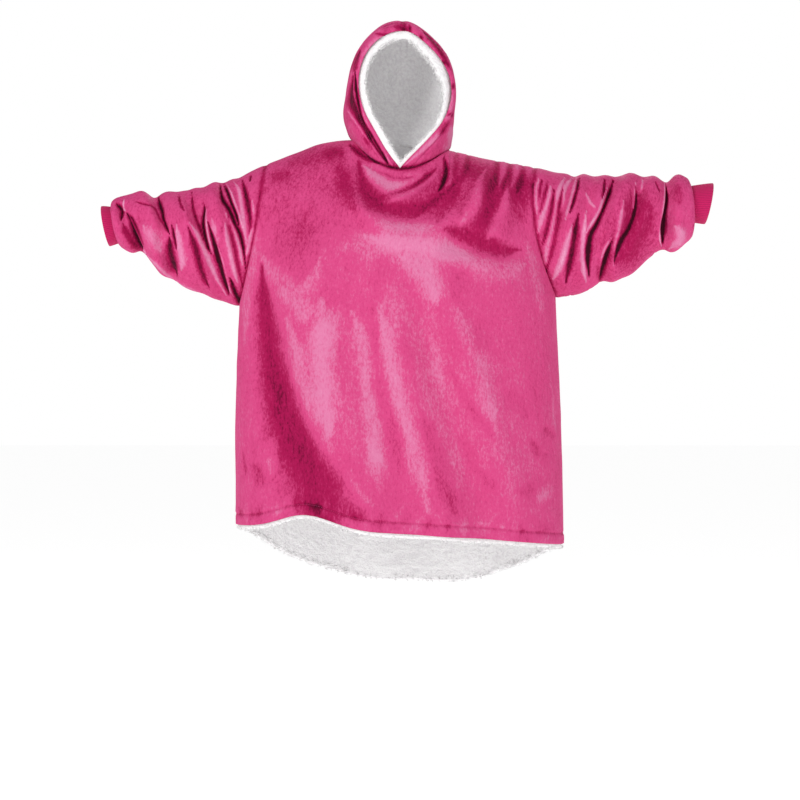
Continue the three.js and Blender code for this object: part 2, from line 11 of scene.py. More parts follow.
import bpy
import numpy as np
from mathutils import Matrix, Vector


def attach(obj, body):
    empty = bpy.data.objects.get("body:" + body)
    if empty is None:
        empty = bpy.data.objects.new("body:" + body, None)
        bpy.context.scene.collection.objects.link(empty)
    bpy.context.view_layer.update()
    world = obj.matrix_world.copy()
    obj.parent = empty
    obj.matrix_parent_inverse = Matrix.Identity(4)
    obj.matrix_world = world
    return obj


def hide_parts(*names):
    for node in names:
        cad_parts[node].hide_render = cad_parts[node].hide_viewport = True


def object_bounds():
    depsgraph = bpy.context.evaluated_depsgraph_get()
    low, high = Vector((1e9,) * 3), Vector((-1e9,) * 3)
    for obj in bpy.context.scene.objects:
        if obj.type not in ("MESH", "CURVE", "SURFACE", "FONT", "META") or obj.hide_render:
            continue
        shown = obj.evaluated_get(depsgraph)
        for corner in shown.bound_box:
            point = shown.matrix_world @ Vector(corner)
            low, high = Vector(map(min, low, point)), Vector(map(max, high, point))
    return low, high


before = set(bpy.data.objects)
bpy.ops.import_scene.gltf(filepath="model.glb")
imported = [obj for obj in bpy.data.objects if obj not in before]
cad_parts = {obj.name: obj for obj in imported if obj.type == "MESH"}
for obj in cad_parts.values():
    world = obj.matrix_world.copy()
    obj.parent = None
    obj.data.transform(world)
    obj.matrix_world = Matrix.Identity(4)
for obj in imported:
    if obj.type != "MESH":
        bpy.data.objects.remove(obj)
cad_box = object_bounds()
MM = 0.001  # every size below is in millimetres, and meshes are in metres
print("pieces in the frame:", ", ".join(sorted(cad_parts)))

# %% [markdown]
# Small helpers come first. A table of sizes becomes one array for each named column, so that a
# smooth curve can be drawn through any column at thousands of places in one call.


# %% Numbers and tables
def ease(x, low, high):
    """0 below low, 1 above high, and a soft S between them."""
    t = np.clip((np.asarray(x, float) - low) / (high - low), 0, 1)
    return t * t * (3 - 2 * t)


def mix(a, b, t):
    """The value at share t of the way from a to b."""
    return a + (b - a) * t


def bell(x):
    """A smooth hump: 1 at 0, a third at 1 and nearly nothing at 2."""
    return np.exp(-(np.asarray(x, float) ** 2))


def unit(v):
    """Vectors of length 1."""
    return v / np.maximum(np.linalg.norm(v, axis=-1, keepdims=True), 1e-9)


def table(columns, *rows):
    """Rows of numbers, as one array for each named column."""
    return dict(zip(columns.split(), np.array(rows, float).T))


def curve_through(rows, column, place, at):
    """A cubic through the rows of one column, read at values of another column.

    Each row's slope is that of the line between its two neighbours."""
    x, y = rows[place], rows[column]
    if x[0] > x[-1]:
        x, y = x[::-1], y[::-1]
    after = np.minimum(np.arange(len(x)) + 1, len(x) - 1)
    before = np.maximum(np.arange(len(x)) - 1, 0)
    slope = (y[after] - y[before]) / (x[after] - x[before])
    at = np.asarray(at, float)
    i = np.clip(np.searchsorted(x, at, side="right") - 1, 0, len(x) - 2)
    span = x[i + 1] - x[i]
    t = np.clip((at - x[i]) / span, 0, 1)
    t2, t3 = t * t, t * t * t
    return (
        (2 * t3 - 3 * t2 + 1) * y[i]
        + (t3 - 2 * t2 + t) * span * slope[i]
        + (3 * t2 - 2 * t3) * y[i + 1]
        + (t3 - t2) * span * slope[i + 1]
    )


# %% [markdown]
# Curly pile, crushed nap and puckers are uneven. They need noise that comes out the same on every
# run. Both kinds below read a whole-number hash of the cell that a point lies in, so nothing is
# drawn at random.


# %% Noise
def cell_value(cell, salt):
    """A number from 0 to 1 for each whole-number cell, always the same for one salt."""
    n = cell[..., 0] * 73856093 ^ cell[..., 1] * 19349663 ^ cell[..., 2] * 83492791 ^ salt * 2654435
    n = (n ^ (n >> 13)) * 1274126177 & 0x7FFFFFFF
    n = (n ^ (n >> 15)) * 461845907 & 0x7FFFFFFF
    return (n & 0xFFFFF) / 0xFFFFF


CORNERS = np.array([(i, j, k) for i in (0, 1) for j in (0, 1) for k in (0, 1)])
NEIGHBOURS = np.array([(i, j, k) for i in (-1, 0, 1) for j in (-1, 0, 1) for k in (-1, 0, 1)])


def soft_noise(points, size, salt=0):
    """Smooth noise from -1 to 1 with humps of the given size: corner values, eased between."""
    q = points / size
    cell = np.floor(q).astype(np.int64)
    t = q - cell
    t = t * t * (3 - 2 * t)
    total = np.zeros(points.shape[:-1])
    for corner in CORNERS:
        share = np.prod(np.where(corner, t, 1 - t), axis=-1)
        total += share * cell_value(cell + corner, salt)
    return 2 * total - 1


def clumps(points, size, salt=0):
    """Round tufts: 1 at the middle of each tuft and falling towards the valleys between them."""
    q = points / size
    cell = np.floor(q).astype(np.int64)
    nearest = np.full(points.shape[:-1], 9.0)
    for step in NEIGHBOURS:
        there = cell + step
        centre = there + np.stack([cell_value(there, salt + k) for k in (1, 2, 3)], -1)
        nearest = np.minimum(nearest, np.sum((centre - q) ** 2, -1))
    return 1 - np.sqrt(nearest)


# %% [markdown]
# A sheet of cloth is a grid of points on its outside. Solidify could give such a grid a
# thickness, but it moves every point along its own normal, so the inner face crosses itself in a
# sharp fold. `cloth_skin` takes the directions from the smooth form under the folds instead. It
# repeats the grid further in, and closes the two with a rounded edge all the way round. The
# result is one closed skin whose faces look outwards.


# %% Cloth from a grid
def facing(points, flip, closed=False):
    """The direction that the cloth faces at each point: across the grid's two slopes."""
    if closed:
        along_row = np.roll(points, -1, 1) - np.roll(points, 1, 1)
    else:
        along_row = np.gradient(points, axis=1)
    return unit(np.cross(along_row, np.gradient(points, axis=0))) * flip


def grid_faces(rows, columns, closed):
    """The four corners of every cell of a grid, as point numbers."""
    at = np.arange(rows * columns).reshape(rows, columns)
    if closed:
        at = np.hstack([at, at[:, :1]])
    cells = [at[:-1, :-1], at[:-1, 1:], at[1:, 1:], at[1:, :-1]]
    return np.stack(cells, -1).reshape(-1, 4)


def edge_loops(rows, columns, closed):
    """The point numbers along the open edges, in the order that the cells run."""
    at = np.arange(rows * columns).reshape(rows, columns)
    if closed:
        return [at[0], at[-1, ::-1]]
    return [np.concatenate([at[0, :-1], at[:-1, -1], at[-1, :0:-1], at[:0:-1, 0]])]


def outward_at_edges(points, closed):
    """At the grid's edges, the direction that leaves the cloth. It is zero inside."""
    out = np.zeros_like(points)
    out[0] += unit(points[0] - points[1])
    out[-1] += unit(points[-1] - points[-2])
    if not closed:
        out[:, 0] += unit(points[:, 0] - points[:, 1])
        out[:, -1] += unit(points[:, -1] - points[:, -2])
    return unit(out)


def make_mesh(name, points, faces, values=None, materials=(), material_index=None):
    """A smooth mesh object from points in millimetres, faces with equal numbers of corners, and
    one value a point for each named attribute."""
    mesh = bpy.data.meshes.new(name)
    mesh.vertices.add(len(points))
    mesh.vertices.foreach_set("co", (points * MM).astype(np.float32).ravel())
    mesh.loops.add(faces.size)
    mesh.loops.foreach_set("vertex_index", faces.astype(np.int32).ravel())
    mesh.polygons.add(len(faces))
    mesh.polygons.foreach_set("loop_start", np.arange(0, faces.size, faces.shape[1], dtype=np.int32))
    mesh.update(calc_edges=True)
    mesh.shade_smooth()
    for key, value in (values or {}).items():
        layer = mesh.attributes.new(key, "FLOAT", "POINT")
        layer.data.foreach_set("value", np.asarray(value, np.float32).ravel())
    for material in materials:
        mesh.materials.append(material)
    if material_index is not None:
        mesh.polygons.foreach_set("material_index", material_index.astype(np.int32))
    made = bpy.data.objects.new(name, mesh)
    bpy.context.scene.collection.objects.link(made)
    print(f"{name}: {len(points)} points, {len(faces)} faces")
    return made


def cloth_skin(outside, faces_out, thickness, closed=False, edge_steps=1, flip=1):
    """A closed skin: the outside, the inside, and a half-round edge.

    The edge at angle a from the outside is the wall's middle + cos(a) of half the thickness
    along the facing direction + sin(a) of it away from the cloth. The third result is the
    direction that leads out of the wall at each point, and the last one the grid's own size."""
    rows, columns = outside.shape[:2]
    count = rows * columns
    away = outward_at_edges(outside, closed).reshape(-1, 3)
    out = faces_out.reshape(-1, 3)
    middle = outside.reshape(-1, 3) - out * (thickness / 2)
    directions = [out, -out]
    starts = [middle, middle]
    outer = grid_faces(rows, columns, closed)
    faces = [outer, outer[:, (0, 3, 2, 1)] + count]  # turned over, with the same corner first
    total = 2 * count
    for loop in edge_loops(rows, columns, closed):
        rings = [loop]
        for k in range(1, edge_steps + 1):
            a = math.pi * k / (edge_steps + 1)
            directions.append(out[loop] * math.cos(a) + away[loop] * math.sin(a))
            starts.append(middle[loop])
            rings.append(np.arange(total, total + len(loop)))
            total += len(loop)
        rings.append(loop + count)
        for near, far in zip(rings, rings[1:]):
            faces.append(np.stack([np.roll(near, -1), near, far, np.roll(far, -1)], -1))
    directions = np.vstack(directions)
    faces = np.vstack(faces)
    points = np.vstack(starts) + directions * (thickness / 2)
    return points, faces if flip > 0 else faces[:, ::-1], directions, count


def mitred(out, across_seam, nearness):
    """Facing directions turned into the seam's own plane, so that two pieces meet there alike."""
    return unit(out - across_seam * (np.sum(out * across_seam, -1) * nearness)[..., None])


def walked(points, axis, back=False):
    """How far along the cloth each point is from the grid's first row or column, or its last."""
    if back:
        return np.flip(walked(np.flip(points, axis), axis), axis)
    steps = np.linalg.norm(np.diff(points, axis=axis), axis=-1)
    start = np.zeros_like(np.take(steps, [0], axis=axis))
    return np.concatenate([start, np.cumsum(steps, axis=axis)], axis=axis)


# %% [markdown]
# The camera stands where the photograph's did: level, 4.2 metres in front, at the height of the
# garment's waist. The lens is worked out from the width that the picture covers. A picture of a
# room could light the cloth, but it would have to be loaded, so the room is a plain pale floor
# in soft studio light. The strongest lamp stands at the front left, and shows the folds by their
# shadows.

# %% Camera, light and floor
SHOT_DISTANCE = 4200
SHOT_HEIGHT = -577.5
SHOT_WIDTH = 1848  # what the picture covers at the garment
SENSOR = 36
ROOM_LIGHT, BACKDROP_LIGHT = 0.46, 1.0  # what lights the garment, and what is seen behind it
FLOOR_REACH = 30  # metres
FLOOR_COLOUR, FLOOR_GLOW = 0.9, 0.56
FLOOR_DROP = 420  # the floor lies this far below the back hem

scene = bpy.context.scene
camera_data = bpy.data.cameras.new("camera")
camera_data.sensor_width = SENSOR
camera_data.lens = SENSOR * SHOT_DISTANCE / SHOT_WIDTH
camera = bpy.data.objects.new("camera", camera_data)
camera.location = Vector((0, -SHOT_DISTANCE, SHOT_HEIGHT)) * MM
camera.rotation_euler = (math.pi / 2, 0, 0)
scene.collection.objects.link(camera)
scene.camera = camera
scene.view_settings.view_transform = "Standard"


def soft_light(name, place, size, watts):
    """A square lamp that looks at the garment's middle."""
    data = bpy.data.lights.new(name, "AREA")
    data.size = size
    data.energy = watts
    lamp = bpy.data.objects.new(name, data)
    lamp.location = place
    lamp.rotation_euler = (Vector((0, 0, -0.45)) - Vector(place)).to_track_quat("-Z", "Y").to_euler()
    scene.collection.objects.link(lamp)


soft_light("key_light", (-2.2, -3.2, 1.9), 1.4, 70)
soft_light("fill_light", (2.8, -2.6, 0.6), 2.2, 20)
soft_light("front_light", (0.2, -4.4, 0.2), 1.0, 16)
soft_light("back_light", (0.8, 2.8, 1.8), 2.2, 45)

world = bpy.data.worlds.new("studio")
scene.world = world
world.use_nodes = True
world_nodes = world.node_tree.nodes
world_links = world.node_tree.links
seen = world_nodes.new("ShaderNodeLightPath")
strength = world_nodes.new("ShaderNodeMix")
strength.inputs["A"].default_value = ROOM_LIGHT
strength.inputs["B"].default_value = BACKDROP_LIGHT
world_links.new(seen.outputs["Is Camera Ray"], strength.inputs["Factor"])
world_links.new(strength.outputs["Result"], world_nodes["Background"].inputs["Strength"])
world_nodes["Background"].inputs["Color"].default_value = (1, 1, 1, 1)

floor_z = cad_box[0].z - FLOOR_DROP * MM
floor_data = bpy.data.meshes.new("floor")
corners = [(x * FLOOR_REACH, y * FLOOR_REACH, floor_z) for x, y in ((-1, -1), (1, -1), (1, 1), (-1, 1))]
floor_data.from_pydata(corners, [], [(0, 1, 2, 3)])
floor = bpy.data.objects.new("floor", floor_data)
scene.collection.objects.link(floor)
floor_finish = bpy.data.materials.new("pale floor")
floor_finish.use_nodes = True
floor_shader = floor_finish.node_tree.nodes["Principled BSDF"]
floor_shader.inputs["Base Color"].default_value = (FLOOR_COLOUR, FLOOR_COLOUR, FLOOR_COLOUR, 1)
floor_shader.inputs["Roughness"].default_value = 0.9
floor_shader.inputs["Emission Color"].default_value = (1, 1, 1, 1)
floor_shader.inputs["Emission Strength"].default_value = FLOOR_GLOW
floor_data.materials.append(floor_finish)
print("floor at", round(floor_z, 3), "m, lens", round(camera_data.lens, 1), "mm")

# %% [markdown]
# The garment's cut and drape, in the same named sizes as the frame. A simulation would let the
# cloth fall anywhere, while these few numbers put the outline and the main folds where they are.
# Both sides of the body have their own outline, because one side is held a little higher: the
# shoulder line, the armhole, the side seam and the hem.

# %% Sizes of the body
FLANNEL = 2.0
BODY_SHERPA = 8.0
HOOD_SHERPA = 13.0
KNIT = 2.4
SEAM_GAP = 0.3
BAND = 23.0
LINING_PEEP = 5.0
TOP_DROP = 4.0  # the back's pile stays this far below the neck and shoulder seams
SIDE = "out z"
SIDES = {
    -1: dict(
        neck_z=20, swell=12, hollow=9, outline=table(SIDE, (368, -360), (377, -610), (376, -861)),
        shoulder=(308, -36),
    ),
    1: dict(
        neck_z=-3, swell=-3, hollow=26, outline=table(SIDE, (356, -340), (369, -633), (375, -906)),
        shoulder=(309, -42),
    ),
}
NECK_SHARE = 0.36
NECK_MIDDLE = {-1: (112, -57), 1: (100, 26)}  # how far out and how high the neckline's middle is
SHOULDER_ROUND, CHEST_ROUND = 100, 175
ARM_DEPTH, ARM_SKEW = 88, 0.22
DEPTHS = table(
    "z front back", (30, 112, 100), (-60, 122, 112), (-150, 160, 138), (-260, 190, 160),
    (-450, 197, 188), (-700, 202, 210), (-1010, 208, 226),
)
FRONT_LIFT, BACK_DROP = 13, 120
HEM_RISE = dict(at=-0.56, width=0.23, rise=30)

FOLD = "x0 z0 x1 z1 width depth"
LONG_FOLDS = {
    -1: table(
        FOLD, (-250, -190, -60, -900, 62, 20), (-322, -230, -225, -900, 46, -20),
        (-40, -290, 110, -900, 40, 15), (30, -330, 185, -860, 34, -13), (90, -300, 262, -800, 40, 12),
        (196, -40, 176, -190, 24, 9), (250, -60, 226, -230, 24, 9), (300, -250, 120, -235, 26, -15),
    ),
    1: table(
        FOLD, (-250, -150, -150, -1000, 60, 20), (-120, -170, -40, -1000, 50, -18),
        (-20, -140, 50, -1000, 50, 18), (110, -190, 150, -980, 46, -18), (230, -150, 240, -950, 56, 20),
    ),
}
COWL = "x z span rise width depth"
COWLS = {
    -1: table(COWL, (5, -132, 90, 80, 22, 9), (30, -215, 175, 130, 30, 11)),
    1: table(COWL, (0, -120, 120, 70, 26, 8)),
}


def each_row(rows):
    """The rows of a table, one after the other, as named numbers."""
    for values in zip(*rows.values()):
        yield dict(zip(rows, values))


# %% [markdown]
# The panel is a function of two numbers. `across` runs from -1 at the right side seam to 1 at the
# left one, and `level` from 0 at the hem to 1 at the armpits and 2 at the neck and shoulders. Seen
# from above, the cloth follows a rounded box. Towards the top edge it turns over in a quarter
# round, and folds push it in or out.


# %% The body's surface
def ring_share(t):
    """Share of an armhole's height at share t of the way from its foot to its top."""
    return (t + (1 - np.cos(np.pi * t)) / 2) / 2


def ring_half(g, skew):
    """Half the width of a ring at share g of its height: an ellipse, fuller towards the top."""
    return np.sqrt(np.maximum(4 * g * (1 - g), 0)) * (1 + skew * (2 * g - 1))


def by_side(across, key):
    """A size of the side that each point lies on."""
    return np.where(across < 0, SIDES[-1][key], SIDES[1][key])


def outline_out(across, z):
    """The body's outline from the front: a straight armhole, hollowed by a half sine, above the
    armpit, and a smooth curve through armpit, waist and hem below it."""
    out = np.zeros_like(z)
    for sign, side in SIDES.items():
        line = side["outline"]
        shoulder_out, shoulder_z = side["shoulder"]
        armpit_out, armpit_z = line["out"][0], line["z"][0]
        g = (z - armpit_z) / (shoulder_z - armpit_z)
        above = mix(armpit_out, shoulder_out, g) - side["hollow"] * np.sin(np.pi * g)
        below = curve_through(line, "out", "z", z)
        own = np.where(z > armpit_z, above, below)
        out = np.where((across < 0) == (sign < 0), own, out)
    return out


def top_edge(face, across):
    """Depth, height and roundness of the panel's top edge: neckline, then shoulder seam."""
    share = np.abs(across)
    neck_z = by_side(across, "neck_z")
    shoulder_z = np.where(across < 0, SIDES[-1]["shoulder"][1], SIDES[1]["shoulder"][1])
    k = np.clip((share - NECK_SHARE) / (1 - NECK_SHARE), 0, 1)
    bow = by_side(across, "swell") * np.sin(np.pi * k) * (1 + 0.4 * np.cos(np.pi * k))
    inward = np.clip(1 - (share / NECK_SHARE) ** 2, 0, 1)
    middle_y, middle_z = NECK_MIDDLE[face]
    on_shoulder = share >= NECK_SHARE
    y = np.where(on_shoulder, 0, middle_y * np.sqrt(inward))
    z = np.where(on_shoulder, mix(neck_z, shoulder_z, k) + bow, mix(neck_z, middle_z, inward))
    return y, z, np.where(on_shoulder, SHOULDER_ROUND, mix(SHOULDER_ROUND, CHEST_ROUND, inward))


def hem_height(face, across):
    """Height of the hem: level from side to side, lifted in front and dropped behind."""
    share = np.abs(across)
    z = mix(SIDES[-1]["outline"]["z"][-1], SIDES[1]["outline"]["z"][-1], (across + 1) / 2)
    if face > 0:
        return z - BACK_DROP * (1 - share**2.7)
    rise = HEM_RISE["rise"] * bell((across - HEM_RISE["at"]) / HEM_RISE["width"]) * (1 - share**6)
    return z + FRONT_LIFT * (1 - share**2.5) + rise


def fold_height(face, x, z):
    """How far the long folds push the cloth out: a bell across each fold's line, fading in from
    its upper end, and a bell across each cowl's parabola."""
    height = np.zeros_like(x)
    for f in each_row(LONG_FOLDS[face]):
        run_x, run_z = f["x1"] - f["x0"], f["z1"] - f["z0"]
        length = math.hypot(run_x, run_z)
        t = ((x - f["x0"]) * run_x + (z - f["z0"]) * run_z) / length**2
        off = ((x - f["x0"]) * run_z - (z - f["z0"]) * run_x) / length
        fade = ease(t, -0.1, 0.35) * (1 - ease(t, 0.95, 1.25))
        height += f["depth"] * fade * bell(off / f["width"])
    for c in each_row(COWLS[face]):
        share = (x - c["x"]) / c["span"]
        off = z - c["z"] - c["rise"] * share**2
        height += c["depth"] * bell(off / c["width"]) * (1 - ease(np.abs(share), 0.7, 1.1))
    return height


def body_surface(face, across, level):
    """Points of a panel at pairs of the given shares and levels.

    Seen from above the depth follows (1 - share^2.4)^(1/2.2), a rounded box. Towards the top edge
    it falls as sqrt(1 - (1 - below)^2), a quarter round. The root of squares joins it to the
    armhole's own ellipse, and the folds come on top where the cloth is free."""
    share = np.abs(across)
    hem = hem_height(face, across)
    armpit = mix(SIDES[-1]["outline"]["z"][0], SIDES[1]["outline"]["z"][0], (across + 1) / 2)
    top_y, top_z, rounding = top_edge(face, across)
    g = ring_share(np.clip(level - 1, 0, 1))
    z = np.where(level < 1, mix(hem, armpit, np.clip(level, 0, 1)), mix(armpit, top_z, g))
    x = across * outline_out(across, z)
    below = np.clip((top_z - z) / rounding, 0, 1)
    turned = np.sqrt(1 - (1 - below) ** 2)
    plan = np.maximum(1 - share**2.4, 0) ** (1 / 2.2)
    middle = turned * plan * curve_through(DEPTHS, "front" if face < 0 else "back", "z", z)
    edge = ARM_DEPTH * ring_half(g, ARM_SKEW) * share**4
    free = (1 - share**6) * ease(top_z - z, 0, 70)
    y = top_y * (1 - turned) + np.hypot(middle, edge) + fold_height(face, x, z) * free
    return np.stack([x, face * y, z], -1)


def even_shares(steps):
    """Column places from the neck to the side seam, evenly spaced along the cloth seen from above."""
    share = np.linspace(NECK_SHARE, 1, 2000)
    plan = np.maximum(1 - share**2.4, 0) ** (1 / 2.2)
    run = np.hypot(np.diff(share) * 375, np.diff(plan) * 190)
    walked = np.concatenate([[0], np.cumsum(run)])
    return np.interp(np.linspace(0, walked[-1], steps + 1), walked, share)


def panel_columns(side_steps, neck_steps):
    """All column places of a panel, from the right side seam to the left one."""
    neck = NECK_SHARE * np.cos(np.arange(1, neck_steps) / neck_steps * np.pi)
    side = even_shares(side_steps)
    return np.concatenate([-side[::-1], -neck, side])


def panel_grid(face, side_steps, neck_steps, hem_rows, step, to_top=True):
    """Pairs of across and level for a panel. The first rows lie at given millimetres above the
    hem, and the others follow evenly to the armpit and on to the top edge."""
    columns = panel_columns(side_steps, neck_steps)
    armpit = mix(SIDES[-1]["outline"]["z"][0], SIDES[1]["outline"]["z"][0], (columns + 1) / 2)
    height = armpit - hem_height(face, columns)
    low = hem_rows[:-1, None] / height
    share = np.linspace(0, 1, int((height.mean() - hem_rows[-1]) / step))[:, None]
    level = np.vstack([low, mix(hem_rows[-1] / height, 1, share)])
    if to_top:
        above = 1 + np.linspace(0, 1, int(330 / step) + 1)[1:, None]
        level = np.vstack([level, np.broadcast_to(above, (len(above), len(columns)))])
    return np.broadcast_to(columns, level.shape), level


# %% [markdown]
# Flannel is a napped cloth. Where its pile has been brushed the other way, it turns dark or
# light with a soft border. On this garment most of the light and dark follows the drape, so
# noise alone would look wrong. Each row below is one stroke of painted shade or painted
# highlight, with some nap in it: its tone from -1, dark, to 1, light, and then points along it
# as (x, z, half width) on the front view. Most dark strokes are painted shade in the troughs of
# folds, and most light ones painted highlights on their ridges. The same strokes press the cloth
# in or lift it a little, because a trough is dark and a ridge is light. The shades are wide,
# soft patches of painted shade and painted light with no lift, such as the darker yoke.

# %% Strokes of nap, painted shade and painted highlights
FRONT_STROKES = [
    (-1.05, (-311, -273, 9), (-307, -335, 19), (-296, -423, 22), (-280, -520, 29), (-256, -600, 34),
     (-236, -650, 42), (-214, -702, 52), (-190, -750, 60), (-172, -805, 66), (-160, -880, 66)),
    (-0.7, (-181, -785, 22), (-132, -802, 24), (-98, -835, 14)),
    (0.44, (-251, -397, 13), (-227, -467, 15), (-214, -544, 18), (-194, -622, 20), (-154, -692, 18),
     (-106, -758, 13), (-62, -809, 11)),
    (0.6, (-172, -357, 18), (-170, -434, 24), (-172, -516, 26), (-168, -589, 29), (-154, -655, 22)),
    (0.48, (-106, -383, 11), (-86, -445, 15), (-75, -547, 15), (-62, -626, 18), (-53, -714, 18),
     (-46, -776, 11)),
    (-0.22, (-135, -441, 7), (-132, -494, 9)),
    (-0.19, (-97, -412, 4), (-95, -518, 6), (-88, -626, 7), (-82, -705, 7)),
    (-0.31, (-64, -357, 7), (-57, -423, 9), (-51, -500, 11), (-40, -566, 13), (-24, -626, 15),
     (-9, -679, 18), (2, -732, 15)),
    (0.51, (-46, -357, 9), (-31, -434, 13), (-15, -518, 13), (0, -589, 15), (18, -644, 15),
     (35, -699, 18), (49, -758, 18), (64, -825, 15)),
    (-0.22, (2, -379, 9), (15, -467, 11), (31, -544, 11), (49, -611, 11)),
    (-0.53, (44, -595, 9), (62, -644, 13), (82, -710, 18), (101, -769, 18), (119, -825, 15)),
    (0.24, (66, -434, 11), (84, -511, 11), (97, -566, 11)),
    (0.33, (97, -324, 11), (128, -397, 13), (154, -456, 13), (181, -522, 13), (198, -589, 15),
     (210, -639, 13)),
    (-0.34, (108, -500, 7), (128, -544, 9), (154, -589, 9), (179, -622, 9), (201, -659, 9)),
    (-0.31, (137, -657, 11), (152, -699, 13), (168, -736, 11)),
    (-0.31, (172, -732, 9), (194, -758, 11), (214, -785, 7)),
    (-0.5, (293, -670, 9), (309, -701, 9)),
    (-0.35, (265, -778, 13), (298, -780, 11)),
    (-0.45, (322, -641, 7), (348, -659, 7)),
    (-0.25, (236, -555, 13), (260, -578, 18), (285, -617, 13)),
    (0.36, (311, -798, 13), (337, -776, 13)),
    (0.32, (333, -489, 3), (342, -566, 3), (351, -648, 3)),
    (0.35, (-287, -666, 11), (-287, -741, 13)),
    (-0.55, (-326, -723, 11), (-307, -763, 15)),
    (-0.6, (-355, -692, 3), (-346, -745, 3)),
    (0.25, (-331, -566, 13), (-326, -666, 13)),
    (0.35, (-320, -185, 9), (-333, -264, 11), (-344, -357, 9), (-351, -445, 7)),
    (-0.25, (-200, -150, 30), (-224, -210, 44), (-236, -262, 40), (-222, -310, 26)),
    (0.5, (-320, -240, 9), (-288, -282, 14), (-256, -311, 17), (-221, -333, 18), (-190, -308, 14),
     (-176, -262, 9)),
    (0.55, (-262, -330, 15), (-229, -357, 24), (-207, -397, 20)),
    (-0.4, (-249, -44, 18), (-198, -22, 26), (-143, -17, 26)),
    (-0.45, (-285, -75, 13), (-251, -66, 13)),
    (0.2, (-172, -48, 18), (-168, -103, 20), (-157, -163, 18)),
    (-0.45, (-132, -17, 11), (-130, -61, 13), (-119, -114, 15), (-101, -158, 13)),
    (-1, (-93, -39, 9), (-84, -83, 13), (-64, -123, 20), (-33, -147, 22), (7, -158, 22),
     (44, -156, 20), (79, -143, 18), (101, -119, 13), (121, -92, 11)),
    (0.5, (-75, -167, 13), (-33, -186, 18), (22, -200, 18), (75, -196, 13)),
    (0.55, (-80, -214, 12), (-22, -231, 20), (33, -238, 26), (88, -244, 26), (140, -262, 22),
     (186, -290, 18)),
    (0.65, (9, -264, 26), (62, -302, 26), (79, -357, 22)),
    (0.4, (163, -283, 24), (221, -292, 24), (275, -276, 18)),
    (0.9, (-84, -50, 7), (-57, -79, 11), (-26, -101, 13), (9, -97, 11), (44, -79, 9)),
    (0.7, (11, -75, 7), (49, -70, 7)),
    (-0.55, (-64, -59, 3), (-31, -72, 4), (2, -83, 4), (35, -75, 3)),
    (-0.95, (-35, -123, 4), (2, -112, 6), (40, -94, 6), (64, -75, 6), (79, -61, 3)),
    (0.65, (-42, -139, 4), (-9, -130, 6), (26, -114, 6), (55, -94, 6), (75, -77, 4), (84, -64, 3)),
    (0.45, (40, -174, 7), (75, -154, 7), (97, -128, 7), (110, -101, 6), (115, -81, 4)),
    (-1.7, (100, -28, 4), (104, -60, 5), (98, -88, 5), (86, -114, 4)),
    (-1.5, (-116, 2, 4), (-98, -14, 7), (-76, -30, 7), (-48, -46, 4)),
    (-0.55, (130, -75, 9), (117, -119, 13), (95, -147, 15), (84, -181, 13)),
    (0.7, (194, -57, 5), (181, -83, 7), (172, -114, 9), (165, -145, 11), (135, -185, 15)),
    (0.7, (244, -79, 4), (238, -110, 6), (232, -145, 9), (210, -189, 11), (194, -220, 9)),
    (-0.55, (204, -80, 10), (202, -130, 17), (194, -176, 20), (176, -206, 20), (150, -226, 16)),
    (-1.0, (96, -198, 10), (130, -208, 17), (162, -219, 21), (196, -233, 20), (230, -243, 15),
     (270, -238, 9)),
    (-0.6, (128, -10, 5), (127, -44, 7), (122, -78, 6)),
    (-0.6, (157, -14, 5), (150, -54, 7), (134, -94, 7)),
    (-0.65, (223, -22, 5), (219, -62, 7), (209, -106, 7)),
    (-0.65, (255, -28, 5), (246, -70, 7), (229, -116, 7)),
    (-0.6, (285, -34, 5), (277, -72, 7), (262, -112, 7)),
    (0.6, (239, -26, 4), (233, -58, 6), (222, -96, 5)),
    (0.6, (270, -32, 4), (263, -64, 6), (250, -100, 5)),
    (-0.3, (265, -103, 18), (273, -169, 18)),
    (0.3, (287, -225, 11), (304, -302, 13), (318, -379, 11)),
]
# Wide painted shade over the yoke and chest, and wide painted light over the belly.
FRONT_SHADES = [
    (-0.38, (-300, -95, 55), (-210, -75, 60), (-121, -70, 60)),
    (-0.3, (-130, -100, 50), (-100, -140, 50), (-60, -170, 40)),
    (-0.6, (20, -90, 45), (77, -100, 50), (143, -105, 55), (188, -120, 50)),
    (-0.5, (170, -190, 34), (230, -160, 44), (300, -100, 50)),
    (-0.25, (-290, -150, 40), (-240, -190, 40), (-200, -200, 40)),
    (0.35, (-120, -240, 30), (0, -235, 34), (140, -262, 30)),
    (0.3, (-150, -400, 60), (-140, -560, 70), (-60, -700, 50)),
    (0.3, (-20, -340, 60), (20, -480, 80), (70, -600, 70), (120, -760, 60)),
    (0.22, (180, -480, 50), (230, -640, 60), (250, -780, 50)),
    (-0.6, (150, -50, 26), (200, -66, 34), (250, -82, 34), (300, -92, 28)),
    (-0.5, (-165, -22, 14), (-128, -14, 14)),
    (-0.25, (-290, -520, 40), (-260, -700, 60)),
]
